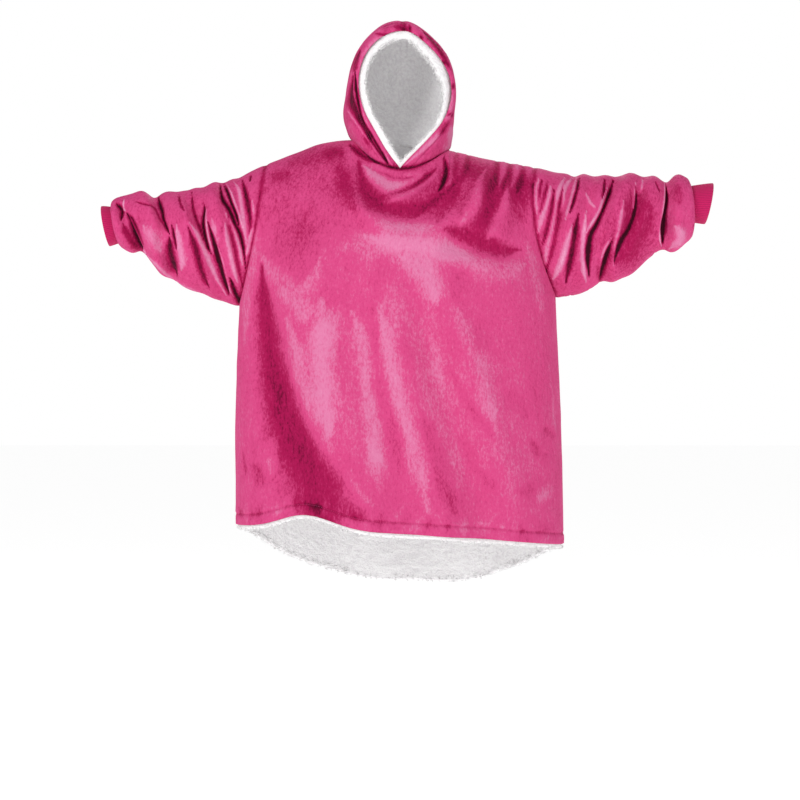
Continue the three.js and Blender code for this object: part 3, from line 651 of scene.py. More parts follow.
BACK_STROKES = [
    (-0.7, (-90, -60, 9), (-60, -105, 16), (0, -125, 20), (60, -108, 16), (96, -62, 9)),
    (0.45, (-120, -110, 11), (-50, -175, 18), (20, -190, 20), (90, -170, 16), (150, -120, 9)),
    (-0.5, (-190, -60, 7), (-175, -130, 13), (-150, -200, 15)),
    (0.4, (-235, -70, 5), (-215, -150, 11), (-190, -230, 15)),
    (-0.45, (215, -70, 5), (200, -140, 11), (170, -210, 15)),
    (0.45, (255, -80, 5), (240, -160, 11), (215, -240, 15)),
    (-0.85, (290, -250, 8), (262, -330, 18), (215, -440, 26), (160, -560, 32), (120, -700, 36),
     (110, -820, 26)),
    (0.55, (318, -330, 10), (290, -430, 18), (246, -540, 24), (205, -660, 24), (180, -790, 18)),
    (-0.6, (-305, -300, 8), (-286, -400, 16), (-240, -500, 22), (-205, -580, 14)),
    (0.5, (-255, -330, 10), (-215, -430, 22), (-160, -540, 28), (-120, -660, 26), (-90, -760, 14)),
    (-0.5, (-185, -600, 10), (-160, -720, 24), (-150, -850, 30), (-160, -960, 20)),
    (0.45, (-20, -250, 12), (-44, -360, 26), (-40, -480, 28), (-10, -590, 18)),
    (-0.35, (60, -290, 10), (40, -400, 18), (48, -520, 18), (80, -610, 10)),
    (0.5, (10, -700, 12), (22, -800, 24), (14, -900, 26), (-6, -980, 16)),
    (-0.4, (70, -800, 10), (84, -900, 20), (70, -990, 16)),
    (0.4, (250, -800, 12), (262, -880, 20), (250, -950, 12)),
    (-0.4, (-320, -640, 8), (-300, -760, 18), (-290, -860, 12)),
    (0.35, (-250, -820, 12), (-232, -910, 18), (-226, -970, 12)),
    (-0.35, (300, -560, 8), (308, -660, 14), (300, -740, 8)),
]
# Wide painted shade over the back's yoke, and painted light below it.
BACK_SHADES = [
    (-0.4, (-290, -90, 60), (-150, -70, 60), (0, -80, 50), (150, -80, 60), (290, -90, 60)),
    (0.3, (-200, -330, 50), (0, -300, 60), (190, -340, 50)),
    (-0.25, (-260, -700, 60), (-200, -860, 60)),
]
STROKES = {-1: FRONT_STROKES, 1: BACK_STROKES}
SHADES = {-1: FRONT_SHADES, 1: BACK_SHADES}
STROKE_SAMPLES = 6  # points of the smooth line between two given ones
STROKE_TAPER = dict(ends=0.35, share=0.22)  # a stroke narrows over this share of it at each end
SOFT_BORDER = (0.1, 1.9)  # a stroke fades between these shares of its half width
FIRM_BORDER = (0.2, 1.6)
PANEL_BRUSH = dict(least=1.4, share=0.07, spread=1.0, border=SOFT_BORDER, core=0.0)


def smooth_line(points):
    """A Catmull-Rom line through the given points, with their half widths, which taper at its ends."""
    p = np.array(points, float)
    p = np.vstack([2 * p[0] - p[1], p, 2 * p[-1] - p[-2]])
    t = np.linspace(0, 1, STROKE_SAMPLES, endpoint=False)[:, None]
    spans = []
    for a, b, c, d in zip(p, p[1:], p[2:], p[3:]):
        bend, twist = 2 * a - 5 * b + 4 * c - d, 3 * b - a - 3 * c + d
        spans.append(0.5 * (2 * b + (c - a) * t + bend * t**2 + twist * t**3))
    line = np.vstack([*spans, p[-2:-1]])
    t = np.linspace(0, 1, len(line))
    line[:, 2] *= mix(STROKE_TAPER["ends"], 1, ease(np.minimum(t, 1 - t), 0, STROKE_TAPER["share"]))
    return line


def stroke(x, z, points, border=SOFT_BORDER):
    """How strongly one stroke covers each place: 1 along its middle, 0 past its soft border."""
    line = smooth_line(points)
    best = np.full(x.shape, 1e9)
    for start, end in zip(line, line[1:]):
        run = end[:2] - start[:2]
        t = ((x - start[0]) * run[0] + (z - start[1]) * run[1]) / max(run @ run, 1e-6)
        t = np.clip(t, 0, 1)
        off = np.hypot(x - start[0] - run[0] * t, z - start[1] - run[1] * t)
        best = np.minimum(best, off / np.maximum(mix(start[2], end[2], t), 1))
    return 1 - ease(best, *border)


def painted_strokes(strokes, points, least, share, spread, border, core):
    """Tone and lift of all strokes together: painted shade from the dark strokes and painted
    highlights from the light ones. Of two dark strokes that cross, only the darker one counts,
    and of two light ones the lighter.

    A stroke of strength 1 moves the cloth by least + share x its half width, so a wide one moves
    it more. Each is drawn wider by the spread. A core makes the middle of each stroke stronger:
    cover (1 + core cover^4)."""
    x, z = points[..., 0], points[..., 2]
    dark, light, low, high = (np.zeros_like(x) for _ in range(4))
    for strength, *line in strokes:
        cover = stroke(x, z, [(px, pz, half * spread) for px, pz, half in line], border)
        moved = strength * cover * (least + share * np.mean([half for _, _, half in line]))
        cover = strength * cover * (1 + core * cover**4)
        dark, light = np.minimum(dark, cover), np.maximum(light, cover)
        low, high = np.minimum(low, moved), np.maximum(high, moved)
    return dark + light, low + high


# %% [markdown]
# Each sleeve is a tube of rings, wide at the armhole and pulled together at the cuff. It is
# pushed up towards the shoulder, so its cloth stands in steep folds: a trough, with a roll of
# cloth beside it. The folds differ too much for one repeated wave, so each has a row of its own.
# The first table has the rings, and the table of creases the main troughs.

# %% Sizes of the sleeves
RING = "out top low deep lean skew"
SLEEVES = {
    1: table(
        RING, (332.5, -42, -340, 88, 47, 0.22), (375, -55, -336, 92, 30, 0.2),
        (425, -59, -322, 90, 18, 0.2), (480, -62, -302, 86, 8, 0.18), (535, -58, -283, 80, 0, 0.15),
        (578, -64, -246, 71, -6, 0.1), (602, -72, -233, 64, -8, 0.05), (632, -63, -233, 66, -8, 0),
        (658, -67, -214, 62, 0, 0), (669, -75, -195, 52, 8, 0), (668, -84, -165, 41, -2, 0),
    ),
    -1: table(
        RING, (338, -36, -360, 88, 60, 0.22), (385, -62, -350, 92, 40, 0.2),
        (435, -78, -332, 90, 24, 0.2), (490, -94, -316, 86, 12, 0.18), (540, -101, -290, 78, 4, 0.15),
        (574, -106, -256, 70, 0, 0.1), (600, -101, -236, 65, -2, 0.05), (628, -107, -231, 62, -10, 0),
        (647, -115, -224, 56, -18, 0), (655, -125, -218, 47, -18, 0), (652, -133, -213, 39, -17, 0),
    ),
}
CUFFS = {
    1: table(
        RING, (668, -84, -165, 41, -2, 0), (690, -80, -168, 42, -13, 0), (712, -77, -171, 43, -18, 0)
    ),
    -1: table(
        RING, (652, -133, -213, 39, -17, 0), (665, -131, -217, 41, -18, 0), (679, -130, -222, 43, -18, 0)
    ),
}
CREASE = "face out0 down0 out1 down1 bow width depth"
CREASES = {
    1: table(
        CREASE, (-1, 401, 0, 350, 0.55, -4, 13, 11), (-1, 436, 0.02, 392, 0.95, 4, 15, 9),
        (-1, 494, 0, 446, 0.95, -14, 16, 15), (-1, 553, 0, 492, 0.85, 8, 15, 13),
        (-1, 489, 0.6, 466, 1, -6, 14, 13), (-1, 619, 0, 612, 0.95, -5, 13, 15),
        (1, 404, 0, 366, 0.6, 4, 15, 11), (1, 452, 0, 410, 0.9, -8, 17, 13),
        (1, 512, 0, 470, 1, 8, 16, 14), (1, 566, 0, 530, 0.8, -6, 15, 12),
        (1, 619, 0, 612, 0.95, 3, 13, 14),
    ),
    -1: table(
        CREASE, (-1, 372, 0, 346, 0.5, 2, 13, 10), (-1, 409, 0, 352, 0.7, 4, 14, 14),
        (-1, 486, 0, 455, 0.42, 5, 13, 10), (-1, 455, 0.2, 404, 0.95, 12, 16, 15),
        (-1, 565, 0, 530, 0.55, -3, 14, 14), (-1, 540, 0.52, 516, 1, 8, 15, 13),
        (-1, 636, 0.22, 592, 1, 5, 15, 14), (1, 400, 0, 362, 0.6, 4, 15, 11),
        (1, 450, 0, 405, 0.9, -6, 17, 14), (1, 510, 0, 470, 0.7, 8, 15, 12),
        (1, 565, 0, 530, 1, -6, 15, 14), (1, 620, 0.1, 596, 0.95, 4, 14, 12),
    ),
}
TOP_SHARE = 0.45  # how much of a fold's depth is left where it runs over the top of the sleeve

# %% [markdown]
# The strokes of the sleeves are narrow and strong: a dark one is painted shade in a deep fold
# and the light one beside it a painted highlight on the edge of cloth that catches the light. The
# back of each sleeve takes the strokes of the other sleeve's front, mirrored, so that the hidden
# side is as creased as the one in front.

# %% Strokes of the sleeves
SLEEVE_STROKES = {
    -1: [
        (-0.7, (-306, -69, 2), (-307, -93, 2), (-318, -121, 2)),
        (-1.0, (-340, -66, 2), (-341, -80, 2)),
        (-1.0, (-359, -77, 3), (-351, -107, 5), (-343, -140, 6), (-337, -176, 5), (-343, -203, 3)),
        (0.6, (-335, -121, 3), (-332, -165, 4), (-343, -231, 4), (-351, -253, 3)),
        (0.55, (-379, -82, 2), (-366, -102, 4), (-359, -135, 4), (-354, -176, 4), (-348, -225, 3)),
        (-1.4, (-403, -85, 2), (-392, -104, 3), (-384, -126, 3), (-370, -159, 3), (-364, -187, 2)),
        (0.7, (-395, -88, 2), (-381, -113, 2), (-370, -143, 2), (-359, -176, 2), (-346, -220, 2)),
        (-1.3, (-412, -85, 3), (-403, -121, 4), (-387, -146, 4), (-373, -179, 4), (-362, -203, 4),
         (-354, -242, 3), (-351, -277, 2)),
        (0.6, (-395, -154, 3), (-379, -190, 4), (-365, -231, 4), (-357, -272, 3)),
        (-1.3, (-446, -132, 2), (-443, -148, 3), (-447, -176, 4), (-443, -203, 4), (-436, -231, 3),
         (-430, -244, 2)),
        (0.8, (-439, -143, 2), (-439, -165, 2), (-436, -198, 2), (-428, -228, 2), (-423, -247, 2)),
        (0.4, (-425, -168, 5), (-417, -203, 7), (-412, -225, 4)),
        (-1.3, (-434, -176, 3), (-423, -214, 5), (-414, -253, 7), (-406, -280, 7), (-398, -313, 6),
         (-392, -335, 3)),
        (0.8, (-414, -222, 2), (-403, -258, 2), (-398, -286, 3), (-390, -319, 2), (-381, -341, 2)),
        (-0.7, (-390, -159, 3), (-381, -198, 5), (-373, -236, 5), (-368, -272, 4), (-359, -319, 3)),
        (0.6, (-395, -176, 3), (-387, -225, 5), (-379, -272, 5), (-370, -308, 4)),
        (-1.1, (-387, -299, 3), (-376, -335, 6), (-365, -357, 5)),
        (-0.9, (-475, -104, 2), (-472, -129, 2), (-464, -162, 3), (-453, -190, 3), (-447, -214, 2)),
        (-0.9, (-478, -187, 3), (-464, -231, 7), (-456, -266, 7), (-447, -299, 6), (-436, -321, 3)),
        (0.6, (-475, -176, 3), (-458, -203, 4), (-442, -239, 5), (-431, -266, 5), (-417, -297, 4),
         (-398, -335, 3)),
        (-0.8, (-504, -110, 2), (-502, -121, 2), (-494, -140, 2), (-486, -151, 2)),
        (-1.3, (-554, -113, 3), (-549, -129, 4), (-542, -146, 4), (-538, -165, 3), (-530, -187, 3),
         (-523, -201, 2)),
        (-1.2, (-517, -181, 2), (-511, -209, 3), (-506, -236, 2)),
        (-1.1, (-524, -209, 5), (-524, -236, 9), (-519, -264, 9), (-511, -291, 4)),
        (0.55, (-505, -181, 4), (-500, -217, 7), (-494, -258, 7), (-497, -280, 4)),
        (-0.6, (-601, -126, 2), (-585, -132, 2), (-560, -140, 2), (-546, -165, 2), (-535, -184, 2)),
        (-1.4, (-623, -151, 3), (-612, -168, 5), (-604, -192, 7), (-596, -217, 7), (-587, -236, 4)),
        (0.9, (-619, -154, 2), (-608, -176, 2), (-598, -201, 2), (-590, -222, 2), (-579, -239, 2)),
        (-1.1, (-648, -129, 4), (-636, -143, 4), (-636, -168, 3)),
        (0.8, (-630, -121, 2), (-631, -140, 2), (-626, -148, 2)),
        (-0.6, (-631, -176, 4), (-623, -198, 7), (-609, -220, 7), (-593, -236, 3)),
        (0.5, (-582, -239, 3), (-549, -272, 4), (-516, -302, 4), (-472, -324, 4), (-439, -338, 3)),
        (0.35, (-582, -181, 8), (-560, -209, 16), (-543, -236, 11)),
    ],
    1: [
        (0.6, (317, -72, 3), (309, -99, 4), (308, -132, 4), (309, -157, 3)),
        (-0.8, (323, -75, 2), (316, -102, 3), (313, -138, 2)),
        (0.65, (343, -90, 3), (333, -126, 5), (321, -163, 6), (312, -199, 4)),
        (-0.8, (336, -81, 2), (326, -126, 4), (315, -160, 3)),
        (0.6, (376, -72, 3), (361, -102, 5), (352, -148, 6), (346, -193, 8), (333, -254, 7),
         (330, -269, 4)),
        (-0.9, (349, -102, 3), (343, -148, 5), (333, -193, 5), (321, -229, 3)),
        (0.6, (394, -72, 3), (376, -96, 4), (367, -132, 4), (358, -163, 3)),
        (-1.0, (370, -96, 2), (361, -138, 5), (355, -181, 5), (343, -239, 5), (333, -284, 2)),
        (0.6, (403, -72, 2), (394, -102, 3), (382, -138, 3), (373, -169, 3)),
        (0.75, (388, -184, 4), (379, -223, 7), (364, -269, 7), (349, -302, 4)),
        (-1.2, (409, -72, 3), (400, -102, 3), (391, -132, 3), (382, -157, 2)),
        (-1.0, (403, -157, 4), (394, -208, 7), (388, -254, 8), (379, -308, 4)),
        (0.7, (421, -151, 3), (415, -208, 5), (415, -269, 5), (424, -305, 3)),
        (0.5, (421, -108, 2), (431, -132, 3), (443, -145, 2)),
        (-1.1, (467, -75, 2), (464, -99, 3), (458, -123, 2)),
        (-1.3, (488, -75, 3), (479, -99, 4), (467, -129, 4), (455, -157, 4), (443, -184, 5),
         (431, -208, 6), (427, -254, 8), (432, -293, 5)),
        (0.8, (473, -93, 2), (461, -123, 3), (449, -154, 3), (431, -181, 3), (421, -199, 2)),
        (0.7, (506, -126, 3), (500, -163, 5), (494, -199, 4), (488, -229, 3), (487, -272, 2)),
        (-1.3, (537, -90, 2), (538, -117, 4), (534, -148, 5), (522, -184, 5), (503, -217, 7),
         (491, -248, 6), (488, -269, 3)),
        (0.8, (538, -81, 2), (534, -111, 2), (531, -141, 2)),
        (-1.3, (482, -217, 3), (470, -248, 7), (462, -278, 7), (460, -308, 4)),
        (0.75, (479, -211, 2), (464, -236, 3), (458, -269, 3), (457, -305, 2)),
        (-0.6, (582, -81, 2), (591, -105, 2)),
        (0.6, (555, -75, 2), (549, -102, 2)),
        (-1.5, (610, -87, 2), (609, -117, 3), (604, -148, 4), (600, -181, 7), (602, -217, 5)),
        (0.9, (606, -84, 2), (603, -117, 2), (598, -148, 2), (592, -181, 2), (593, -208, 2),
         (600, -223, 2)),
        (-0.35, (564, -126, 12), (564, -169, 18), (552, -208, 15)),
        (-0.42, (540, -112, 24), (536, -160, 36), (522, -215, 44), (498, -262, 30)),
        (0.5, (625, -181, 7), (640, -205, 12), (619, -226, 6)),
        (-0.3, (634, -87, 9), (634, -132, 12)),
    ],
}
SLEEVE_BRUSH = dict(least=3.0, share=0.4, spread=1.4, border=FIRM_BORDER, core=0.7)
# A painted shade that darkens the whole of each sleeve.
SLEEVE_PAINTED_SHADE = -0.18
SLEEVE_SHINE = 1.3  # painted highlights: the light strokes of the sleeves are this much lighter than their number
ROUND_STEPS, SLEEVE_STEPS = 192, 176


def ring_at(rows, t):
    """The ring at share t along the tube, each size on a smooth curve through its column."""
    numbered = dict(rows, at=np.linspace(0, 1, len(rows["out"])))
    return {key: curve_through(numbered, key, "at", t) for key in rows}


def ring_points(sign, ring, around, raise_by=None):
    """Points of rings. `around` runs from 0 at the foot over the front to 1 at the top, and on
    down the back to 2. Each ring is an ellipse that is fuller at the top and leans with height.
    A raise moves a point along the ellipse's own outward direction."""
    front = around <= 1
    g = ring_share(np.where(front, around, 2 - around))
    face = np.where(front, -1, 1)
    half = (ring["top"] - ring["low"]) / 2
    y = face * ring["deep"] * ring_half(g, ring["skew"])
    z = mix(ring["low"], ring["top"], g)
    away = unit(np.stack([y / ring["deep"] ** 2, (z - ring["low"] - half) / half**2], -1))
    out = ring["out"] + ring["lean"] * (0.5 - g)
    raised = 0 if raise_by is None else raise_by(out, 1 - g, face)
    return np.stack([sign * out, y + away[..., 0] * raised, z + away[..., 1] * raised], -1)


def crease_height(creases, out, down, face):
    """Depth of the sleeve's main folds: a bell-shaped trough and a broader roll beside it."""
    height = np.zeros_like(out)
    for c in each_row(creases):
        t = (down - c["down0"]) / (c["down1"] - c["down0"])
        ends = ease(t, -0.15, 0.1) * (1 - ease(t, 0.75, 1.15))
        own = mix(TOP_SHARE, 1, ease(down, 0, 0.2))
        beyond = TOP_SHARE * (1 - ease(down, 0, 0.12)) + 1 - ease(1 - down, 0, 0.12)
        inside = np.clip(t, 0, 1)
        off = out - mix(c["out0"], c["out1"], inside) - c["bow"] * 4 * inside * (1 - inside)
        off = off / c["width"]
        roll = 0.55 * bell((off - 1.7) / 1.3)
        height += c["depth"] * ends * np.where(c["face"] == face, own, beyond) * (roll - bell(off))
    return height


def sleeve_tone(sign, points, deep):
    """Tone and lift of a sleeve's strokes, on its front and, from the other sleeve, its back, over a
    painted shade that darkens the whole sleeve.
    """
    tone, lift = np.full(deep.shape, SLEEVE_PAINTED_SHADE), np.zeros(deep.shape)
    for face in (-1, 1):
        on_face = ease(face * points[..., 1] / deep, -0.12, 0.3)
        seen_from_front = points * (-face, 1, 1)
        one_tone, one_lift = painted_strokes(SLEEVE_STROKES[-face * sign], seen_from_front, **SLEEVE_BRUSH)
        tone += np.where(one_tone > 0, SLEEVE_SHINE, 1) * one_tone * on_face
        lift += one_lift * on_face
    return tone, lift


def sleeve_surface(sign):
    """The sleeve's outside, the directions that its smooth tube faces, and its nap and lift.

    The folds leave the tube along those same directions, so that cloth never crosses itself."""
    side = SIDES[sign]
    around, along = np.meshgrid(
        np.arange(ROUND_STEPS) * 2 / ROUND_STEPS, np.linspace(0, 1, SLEEVE_STEPS + 1)
    )
    free = ease(along, 0, 0.06) * (1 - ease(along, 0.88, 0.97))
    ring = ring_at(SLEEVES[sign], along)

    def raise_by(out, down, face):
        return crease_height(CREASES[sign], out, down, face) * free

    out = facing(ring_points(sign, ring, around), -sign, True)
    points = ring_points(sign, ring, around, raise_by)
    g = (points[..., 2] - ring["low"]) / (ring["top"] - ring["low"])
    hollow = side["hollow"] * np.sin(np.pi * np.clip(g, 0, 1)) * (1 - ease(along, 0, 0.08))
    points[..., 0] -= sign * hollow
    tone, lift = sleeve_tone(sign, points, ring["deep"])
    return points, out, tone, lift * free


# %% [markdown]
# The hood is two halves that meet over the crown. A half is a function of `back`, from the face
# opening (0) to the seam at the back (1), and `rise`, from the neckline (0) to the crown (1).
# Its outline at each height is an ellipse's quarter with some fullness added behind the opening.
# A lofted profile would give a smooth dome, but the fullness is what makes it hang like cloth.

# %% Sizes of the hood
FACE_HEIGHT = 319
HOOD_ROWS = table(
    "up right left face_y back_y full_right full_left", (0, 0, 0, -112, 100, 112, 112),
    (0.2, 53, 52, -102, 133, 91, 80), (0.4, 94, 95, -93, 163, 54, 42), (0.6, 114, 113, -86, 172, 32, 27),
    (0.8, 121, 106, -78, 155, 20, 30), (1, 120, 70, -70, 118, 12, 32),
)
CROWN_BACK, CROWN_ARCH = 238, 44
HOOD_TURN, HOOD_CENTRE_Y = 0.11, 20
COARSE_STEPS = 121  # points of the first measure along each row


def neckline(sign, back):
    """Points of the neckline from the middle of the front (0) round one side to the back (1)."""
    steps = np.clip(back, 0, 1) * 2
    share = NECK_SHARE * np.sin(np.where(steps < 1, steps, 2 - steps) * np.pi / 2)
    points = np.zeros(back.shape + (3,))
    for face in (-1, 1):
        y, z, _ = top_edge(face, sign * share)
        here = np.stack([sign * share * outline_out(sign * share, z), face * y, z], -1)
        points = np.where(((steps < 1) == (face < 0))[..., None], here, points)
    return points


def hood_surface(sign, back, rise):
    """Points of a half of the hood at pairs of the given places.

    The height goes up by sin(rise)^1.2 from the neckline to the crown. Across, a point lies at
    cos(angle) of the half width plus sin(2 angle) of the fullness, drawn in by sqrt(1 - up^4)
    towards the crown. From face to back it follows sin(angle)^2. The hood then turns a little
    about its upright axis, more the higher it is, and its foot eases into the neckline."""
    base = neckline(sign, back)
    up = np.sin(rise * np.pi / 2) ** 1.2
    angle = back * np.pi / 2
    row = {key: curve_through(HOOD_ROWS, key, "up", up) for key in HOOD_ROWS}
    half, full = ("right", "full_right") if sign < 0 else ("left", "full_left")
    closing = np.sqrt(np.maximum(1 - up**4, 0))
    x = sign * (row[half] * np.cos(angle) + row[full] * np.sin(2 * angle)) * closing
    y = mix(row["face_y"], row["back_y"], np.sin(angle) ** 2)
    seam = mix(NECK_MIDDLE[-1][1] + FACE_HEIGHT, CROWN_BACK, back) + CROWN_ARCH * np.sin(np.pi * back)
    z = mix(base[..., 2], seam, up)
    turn = HOOD_TURN * ease(up, 0, 0.35)
    y = y - HOOD_CENTRE_Y
    x, y = x * np.cos(turn) - y * np.sin(turn), x * np.sin(turn) + y * np.cos(turn)
    points = np.stack([x, y + HOOD_CENTRE_Y, z], -1)
    started = ease(rise, 0, 0.06)[..., None]
    return mix(base, points, started)


def hood_grid(sign, band, back_steps, rise_steps):
    """Pairs of back and rise. The first columns lie at given millimetres from the face edge, all
    the way up, and the others follow evenly to the seam behind."""
    rise = np.linspace(0, 1, rise_steps + 1)
    rise = np.broadcast_to(rise[:, None], (rise_steps + 1, COARSE_STEPS))
    coarse = np.broadcast_to(np.linspace(0, 1, COARSE_STEPS), rise.shape)
    run = walked(hood_surface(sign, coarse, rise), 1)
    back = []
    for place, distance in zip(coarse, run):
        rest = np.linspace(band[-1], distance[-1], back_steps + 1)[1:]
        back.append(np.interp(np.concatenate([band, rest]), distance, place))
    back = np.array(back)
    return back, np.broadcast_to(rise[:, :1], back.shape)


# %% [markdown]
# ## Finishes
# Three materials, one for each cloth. A picture of plush would stretch and repeat, so each
# finish is worked out from the place on the cloth. Plush reads the nap and painted shade that
# each mesh carries, and adds crushed patches, streaks that run down the pile, and fine fibre. Its
# soft rim of light is sheen. Sherpa is off-white, with painted shade between its tufts. The knit
# has painted shade between its ribs.


# %% Material tools
def linear(red, green, blue):
    """A colour as it is read off a screen, 0 to 255, made linear."""
    c = np.array([red, green, blue]) / 255
    return (*np.where(c < 0.04045, c / 12.92, ((c + 0.055) / 1.055) ** 2.4), 1)


RESULTS = dict(Colour="NodeSocketColor", Roughness="NodeSocketFloat", Normal="NodeSocketVector")


class Nodes:
    """A node group that can be written as a few lines: each call adds a node and returns it."""

    def __init__(self, name):
        self.tree = bpy.data.node_groups.new(name, "ShaderNodeTree")
        for title, kind in RESULTS.items():
            self.tree.interface.new_socket(title, in_out="OUTPUT", socket_type=kind)
        self.result = self.tree.nodes.new("NodeGroupOutput").inputs

    def add(self, kind, settings=None, **sockets):
        """A node with some settings, and each named socket linked or given a number."""
        node = self.tree.nodes.new("ShaderNode" + kind)
        for key, value in (settings or {}).items():
            setattr(node, key, value)
        for key, value in sockets.items():
            socket = node.inputs[int(key[1:])] if key[1:].isdigit() else node.inputs[key]
            if isinstance(value, bpy.types.NodeSocket):
                self.tree.links.new(value, socket)
            else:
                socket.default_value = value
        return node

    def math(self, operation, *values):
        """One arithmetic step."""
        sockets = {f"_{i}": value for i, value in enumerate(values)}
        return self.add("Math", dict(operation=operation), **sockets).outputs[0]

    def noise(self, where, stretch, scale, detail, roughness=0.5):
        """Noise in object space, stretched along some axes."""
        placed = self.add("Mapping", Vector=where, Scale=stretch).outputs[0]
        made = self.add("TexNoise", Vector=placed, Scale=scale, Detail=detail, Roughness=roughness)
        return made.outputs["Fac"]

    def ramp(self, factor, *stops):
        """A colour for each place on a scale from 0 to 1, with soft steps between."""
        node = self.add("ValToRGB", Fac=factor)
        node.color_ramp.interpolation = "EASE"
        elements = node.color_ramp.elements
        while len(elements) < len(stops):
            elements.new(1)
        for element, (place, colour) in zip(elements, stops):
            element.position = place
            element.color = colour
        return node.outputs[0]

    def send(self, **values):
        """The group's results."""
        for title, value in values.items():
            self.tree.links.new(value, self.result[title])
        return self.tree


def finished(name, group, **shader):
    """A material whose shader takes its colour, roughness and normal from a node group."""
    material = bpy.data.materials.new(name)
    material.use_nodes = True
    nodes, links = material.node_tree.nodes, material.node_tree.links
    node = nodes.new("ShaderNodeGroup")
    node.node_tree = group
    surface = nodes["Principled BSDF"]
    for title, socket in (("Colour", "Base Color"), ("Roughness", "Roughness"), ("Normal", "Normal")):
        links.new(node.outputs[title], surface.inputs[socket])
    for key, value in shader.items():
        surface.inputs[key.replace("_", " ")].default_value = value
    return material


# %% Plush, sherpa and knit
# From dark to light: the darkest stops serve the painted shade of deep folds and seams, the lightest the
# painted highlights.
PLUSH_TONES = (
    (0.0, linear(52, 0, 20)),
    (0.12, linear(108, 0, 46)),
    (0.27, linear(162, 14, 76)),
    (0.5, linear(207, 68, 126)),
    (0.72, linear(214, 120, 162)),
    (0.92, linear(226, 158, 190)),
)


def plush_group():
    """Tone = nap and painted shade + crushed patches + streaks + fibre, read as a colour from dark to
    light.
    """
    g = Nodes("napped plush")
    where = g.add("TexCoord").outputs["Object"]
    nap_and_shade = g.add("Attribute", dict(attribute_name="nap_and_shade")).outputs["Fac"]
    patches = g.noise(where, (1, 1, 0.5), 21, 3, 0.55)
    streaks = g.noise(where, (1, 1, 0.28), 120, 4, 0.7)
    fibre = g.noise(where, (1, 1, 0.5), 230, 3, 0.75)
    crinkle = g.noise(where, (0.8, 1, 1.1), 34, 2, 0.5)
    crinkle = g.math("ABSOLUTE", g.math("SUBTRACT", crinkle, 0.5))
    crinkle = g.math("MINIMUM", g.math("MULTIPLY", crinkle, 14), 1)
    tone = g.math("MULTIPLY_ADD", nap_and_shade, 0.23, 0.5)
    tone = g.math("ADD", tone, g.math("MULTIPLY_ADD", patches, 0.16, -0.08))
    tone = g.math("ADD", tone, g.math("MULTIPLY_ADD", streaks, 0.2, -0.1))
    tone = g.math("ADD", tone, g.math("MULTIPLY_ADD", fibre, 0.44, -0.22))
    colour = g.ramp(tone, *PLUSH_TONES)
    rough = g.math("MULTIPLY_ADD", tone, -0.2, 0.78)
    height = g.math("MULTIPLY_ADD", streaks, 0.6, g.math("MULTIPLY", fibre, 0.45))
    height = g.math("ADD", height, g.math("MULTIPLY_ADD", patches, 1.0, g.math("MULTIPLY", crinkle, 0.25)))
    normal = g.add("Bump", Strength=0.55, Distance=0.004, Height=height).outputs[0]
    return g.send(Colour=colour, Roughness=rough, Normal=normal)


def sherpa_group():
    """Off-white tufts with painted shade in the valleys between them. `tuft` is 1 on a tuft of the mesh
    and 0 between.
    """
    g = Nodes("curly sherpa")
    where = g.add("TexCoord").outputs["Object"]
    tuft = g.add("Attribute", dict(attribute_name="tuft")).outputs["Fac"]
    curls = g.add("TexVoronoi", dict(feature="SMOOTH_F1"), Vector=where, Scale=260).outputs["Distance"]
    fibre = g.noise(where, (1, 1, 1), 900, 3)
    height = g.math("SUBTRACT", g.math("MULTIPLY", fibre, 0.35), curls)
    # painted shade: greyer in the valleys between tufts and between curls
    shade = g.math("ADD", g.math("MULTIPLY_ADD", tuft, 0.55, 0.3), g.math("MULTIPLY", height, 0.35))
    colour = g.ramp(
        shade, (0.0, linear(206, 200, 204)), (0.45, linear(236, 233, 235)), (0.8, linear(250, 249, 249))
    )
    rough = g.math("MULTIPLY_ADD", fibre, 0.1, 0.86)
    normal = g.add("Bump", Strength=0.6, Distance=0.003, Height=height).outputs[0]
    return g.send(Colour=colour, Roughness=rough, Normal=normal)


def knit_group():
    """Even pink, with painted shade between the ribs, and small stitches up each rib."""
    g = Nodes("rib knit")
    where = g.add("TexCoord").outputs["Object"]
    rib = g.add("Attribute", dict(attribute_name="rib")).outputs["Fac"]
    wave = g.add("TexWave", dict(bands_direction="X"), Vector=where, Scale=180, Distortion=1)
    loops = wave.outputs["Fac"]
    fibre = g.noise(where, (1, 1, 1), 800, 2)
    shade = g.math("ADD", g.math("MULTIPLY", rib, 0.75), g.math("MULTIPLY", fibre, 0.25))
    colour = g.ramp(
        shade, (0.0, linear(158, 14, 78)), (0.5, linear(189, 20, 90)), (1.0, linear(200, 28, 100))
    )
    rough = g.math("MULTIPLY_ADD", fibre, 0.1, 0.8)
    height = g.math("MULTIPLY_ADD", loops, 0.5, fibre)
    normal = g.add("Bump", Strength=0.4, Distance=0.001, Height=height).outputs[0]
    return g.send(Colour=colour, Roughness=rough, Normal=normal)


plush = finished(
    "pink plush", plush_group(), Sheen_Weight=0.16, Sheen_Roughness=0.35, Sheen_Tint=linear(255, 130, 190),
    Specular_IOR_Level=0.1,
)
sherpa = finished(
    "white sherpa", sherpa_group(), Sheen_Weight=0.3, Sheen_Roughness=0.6, Specular_IOR_Level=0.15
)
rib_knit = finished(
    "pink rib knit", knit_group(), Sheen_Weight=0.15, Sheen_Roughness=0.5, Specular_IOR_Level=0.2
)

# %% [markdown]
# ## Plush pieces
# At a seam the pile is sewn under, so the cloth stands a little higher beside the seam than in
# it. Every outside piece shares that rule: its sewn edges keep the exact line of the frame, and
# the rest of it is raised by the pile. Sculpting could do the same by eye, but a height worked
# out from the distance to each seam is even all the way along. The turned hem is a padded band
# with a stitched groove above it.

